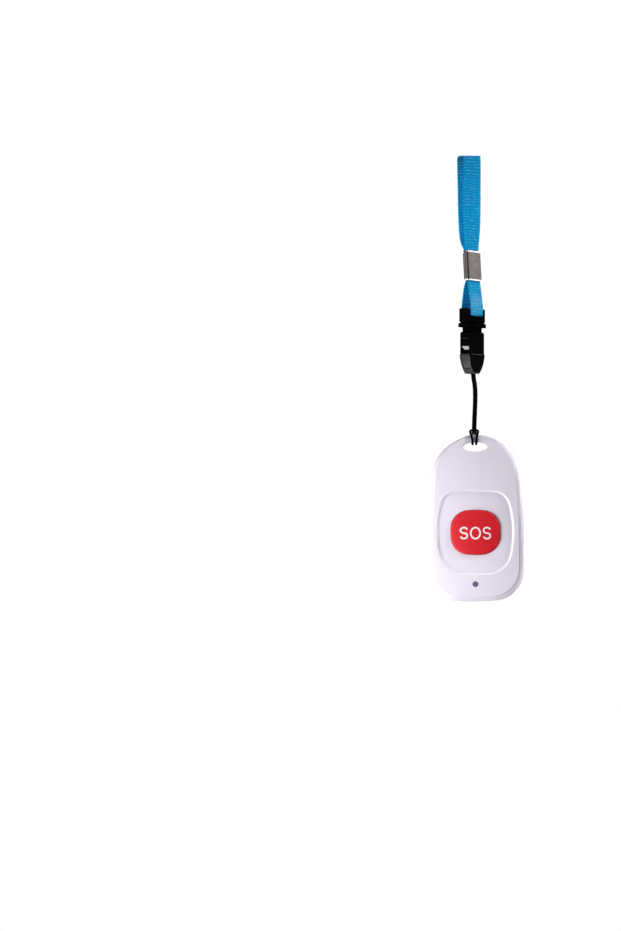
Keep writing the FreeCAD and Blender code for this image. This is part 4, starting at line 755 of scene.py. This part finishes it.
def crimp_steel():
    """Plated sheet, finely brushed up and down, turned in at both ends, with cloudy tarnish."""
    brown_tarnish = (0.46, 0.39, 0.38)
    pale_tarnish = (0.61, 0.53, 0.515)
    streak_grey = (0.33, 0.30, 0.30)
    cloud_size = 0.003
    brush_size = 0.00016
    brush_depth = 0.000005
    turned_in = 0.0005
    turned_depth = turned_in * 0.45
    end = CRIMP_HEIGHT / 2 * MM
    turn = math.radians(HARDWARE_TURN)
    lean = math.radians(CRIMP_LEAN)
    back = math.sin(lean)
    axis = Vector((-back * math.sin(turn), back * math.cos(turn), math.cos(lean)))
    middle = (0.0, 0.0, (CRIMP_TOP - CRIMP_HEIGHT / 2) * MM)
    look = Look("crimp_steel", (0.52, 0.49, 0.475), 0.22, Metallic=1.0)
    spot = look.on_vectors("SUBTRACT", look.place, middle, "Vector")
    off_middle = look.calculate("ABSOLUTE", look.on_vectors("DOT_PRODUCT", spot, axis, "Value"))
    brushed = look.noise(brush_size, 3.0, look.stretched((1.0, 1.0, 0.03)))
    tarnish = look.shade(look.noise(cloud_size, 3.0), brown_tarnish, pale_tarnish)
    streaks = look.span(brushed, 0.0, 0.35, 0.4, 0.7)
    look.give(
        Base_Color=look.mix(streaks, tarnish, streak_grey),
        Roughness=look.span(brushed, 0.14, 0.24, *NOISE_RANGE),
    )
    look.bump(look.span(off_middle, 1.0, 0.0, end - turned_in, end), turned_depth)
    look.bump(brushed, brush_depth)
    return look.material


def bright_steel():
    """Bright metal inside the case and of the screws, with faint upright scratches."""
    sheen_size = 0.0005
    scratch_size = 0.0002
    scratch_depth = 0.000008
    look = Look("bright_steel", (0.62, 0.61, 0.60), 0.28, Metallic=1.0)
    look.give(Roughness=look.span(look.noise(sheen_size, 3.0), 0.2, 0.38, *NOISE_RANGE))
    scratches = look.noise(scratch_size, 2.0, look.stretched((1.0, 1.0, 0.1)))
    look.bump(scratches, scratch_depth)
    return look.material


def board_green():
    """Solder mask with faint tracks under it."""
    look = Look("board_green", (0.02, 0.16, 0.06), 0.3, Coat_Weight=0.5)
    tracks = look.add(
        "ShaderNodeTexBrick", [("offset", 0.5)],
        Vector=look.place, Scale=320.0, Mortar_Size=0.06, Mortar_Smooth=0.2,
    ).outputs["Fac"]
    look.give(Base_Color=look.mix(tracks, (0.016, 0.13, 0.05), (0.04, 0.24, 0.10)))
    look.bump(tracks, 0.00002)
    return look.material


materials = {
    "case_white": white_case(),
    "button_red": red_button(),
    "lens_smoke": smoky_lens(),
    "board_green": board_green(),
    "chip_black": mottled(
        "chip_black", (0.02, 0.02, 0.021), 0.55,
        (0.0003, 3.0), ((0.015, 0.015, 0.016), (0.032, 0.032, 0.033)), (0.0002, 3.0), 0.00001,
    ),
    "lamp_clear": mottled(
        "lamp_clear", (0.80, 0.79, 0.66), 0.2,
        (0.0004, 3.0), ((0.78, 0.76, 0.62), (0.86, 0.85, 0.74)), (0.0002, 2.0), 0.000004,
        Coat_Weight=0.4,
    ),
    "ceramic_tan": mottled(
        "ceramic_tan", (0.42, 0.29, 0.17), 0.45,
        (0.0004, 3.0), ((0.36, 0.25, 0.14), (0.48, 0.34, 0.2)), (0.0002, 2.0), 0.000006,
    ),
    "copper": mottled(
        "copper", (0.80, 0.42, 0.26), 0.3,
        (0.001, 3.0), ((0.70, 0.35, 0.2), (0.86, 0.48, 0.3)), (0.0003, 2.0), 0.000006,
        Metallic=1.0,
    ),
    "bright_steel": bright_steel(),
    "webbing_blue": blue_ribbon(),
    "crimp_steel": crimp_steel(),
    "buckle_black": black_plastic(),
    "cord_black": black_cord(),
}
white_print = printed_white()


def dress(thing, material):
    """Object with one material and no other."""
    thing.data.materials.clear()
    thing.data.materials.append(material)


for part in frame["record"]["subparts"]:
    dress(nodes[part["node"]], materials[part["material_slot"]])
dress(cord, materials["cord_black"])
dress(ribbon, materials["webbing_blue"])
for letter in legend:
    dress(letter, white_print)


# Studio

# Levels on the part's axis that the lights aim at
AT_RIBBON = -0.02
AT_CRIMP = -0.046
AT_LOOP = -0.062
AT_BUCKLE = -0.085
AT_MIDDLE = -0.11
AT_CASE = -0.15
AT_CASE_LOW = -0.18

# Panels of light: name, place, level aimed at, size, watts, spread in degrees
LIGHTS = [
    ("near_low", (-0.10, -0.082, -0.21), AT_CASE, (0.08, 0.12), 0.185, 180),
    ("near_high", (-0.11, -0.095, -0.135), AT_CASE, (0.08, 0.08), 0.075, 180),
    ("top", (-0.10, -0.18, 0.35), AT_MIDDLE, (0.3, 0.2), 0.4, 180),
    ("low_card", (-0.32, -0.06, -0.45), AT_BUCKLE, (0.18, 0.15), 0.95, 180),
    ("right_low", (0.45, 0.05, -0.42), AT_CASE_LOW, (0.3, 0.3), 0.10, 30),
    ("right_side", (0.46, -0.11, 0.15), AT_CASE, (0.3, 0.3), 0.25, 30),
    ("ribbon_front", (-0.04, -0.30, 0.28), AT_RIBBON, (0.06, 0.06), 0.017, 10),
    ("loop_front", (-0.05, -0.30, -0.23), AT_LOOP, (0.04, 0.04), 0.0045, 10),
    ("ribbon_back", (-0.12, 0.43, 0.10), AT_RIBBON, (0.15, 0.15), 0.4, 30),
    ("back_high", (0.57, 0.46, 0.29), AT_CRIMP, (0.3, 0.3), 1.0, 180),
    ("back_low", (0.57, 0.46, -0.31), AT_CRIMP, (0.3, 0.3), 1.0, 180),
    ("crimp_right", (0.104, 0.060, -0.028), AT_CRIMP, (0.05, 0.046), 0.003, 180),
    ("crimp_left", (-0.104, -0.060, -0.030), AT_CRIMP, (0.05, 0.045), 0.003, 180),
]


def add_light(name, place, level, size, power, spread):
    """Panel of light at a place, turned to a level on the part's axis."""
    data = bpy.data.lights.new(name, "AREA")
    data.shape = "RECTANGLE"
    data.size, data.size_y = size
    data.energy = power
    data.spread = math.radians(spread)
    light = bpy.data.objects.new(name, data)
    light.location = place
    aim = Vector((0.0, 0.0, level)) - Vector(place)
    light.rotation_euler = aim.to_track_quat("-Z", "Y").to_euler()
    bpy.context.scene.collection.objects.link(light)


def make_world():
    """White background to the camera, and a faint glow to everything else."""
    world = bpy.data.worlds.new("studio")
    world.use_nodes = True
    tree = world.node_tree
    seen = tree.nodes["Background"]
    seen.inputs["Color"].default_value = (1, 1, 1, 1)
    seen.inputs["Strength"].default_value = 1.0
    soft = tree.nodes.new("ShaderNodeBackground")
    soft.inputs["Color"].default_value = (0.96, 0.97, 1.0, 1)
    soft.inputs["Strength"].default_value = 0.01
    choose = tree.nodes.new("ShaderNodeMixShader")
    path = tree.nodes.new("ShaderNodeLightPath")
    tree.links.new(path.outputs["Is Camera Ray"], choose.inputs[0])
    tree.links.new(soft.outputs[0], choose.inputs[1])
    tree.links.new(seen.outputs[0], choose.inputs[2])
    tree.links.new(choose.outputs[0], tree.nodes["World Output"].inputs["Surface"])
    bpy.context.scene.world = world


def make_floor():
    """Pale floor far below the part, which neither lights it nor shows in its gloss."""
    reach = 0.55
    level = -0.5
    sides = ((-reach, -reach), (reach, -reach), (reach, reach), (-reach, reach))
    mesh = bpy.data.meshes.new("floor")
    mesh.from_pydata([(x, y, level) for x, y in sides], [], [(0, 1, 2, 3)])
    floor = bpy.data.objects.new("floor", mesh)
    bpy.context.scene.collection.objects.link(floor)
    floor.visible_diffuse = False
    floor.visible_glossy = False
    look = Look("floor_pale", (0.02, 0.02, 0.02), 0.8, Emission_Strength=1.0)
    look.give(Emission_Color=look.mix(look.noise(0.2, 3.0), (0.90, 0.90, 0.91), (0.94, 0.94, 0.95)))
    dress(floor, look.material)


for light in LIGHTS:
    add_light(*light)
make_world()
make_floor()
bpy.context.scene.view_settings.view_transform = "Standard"
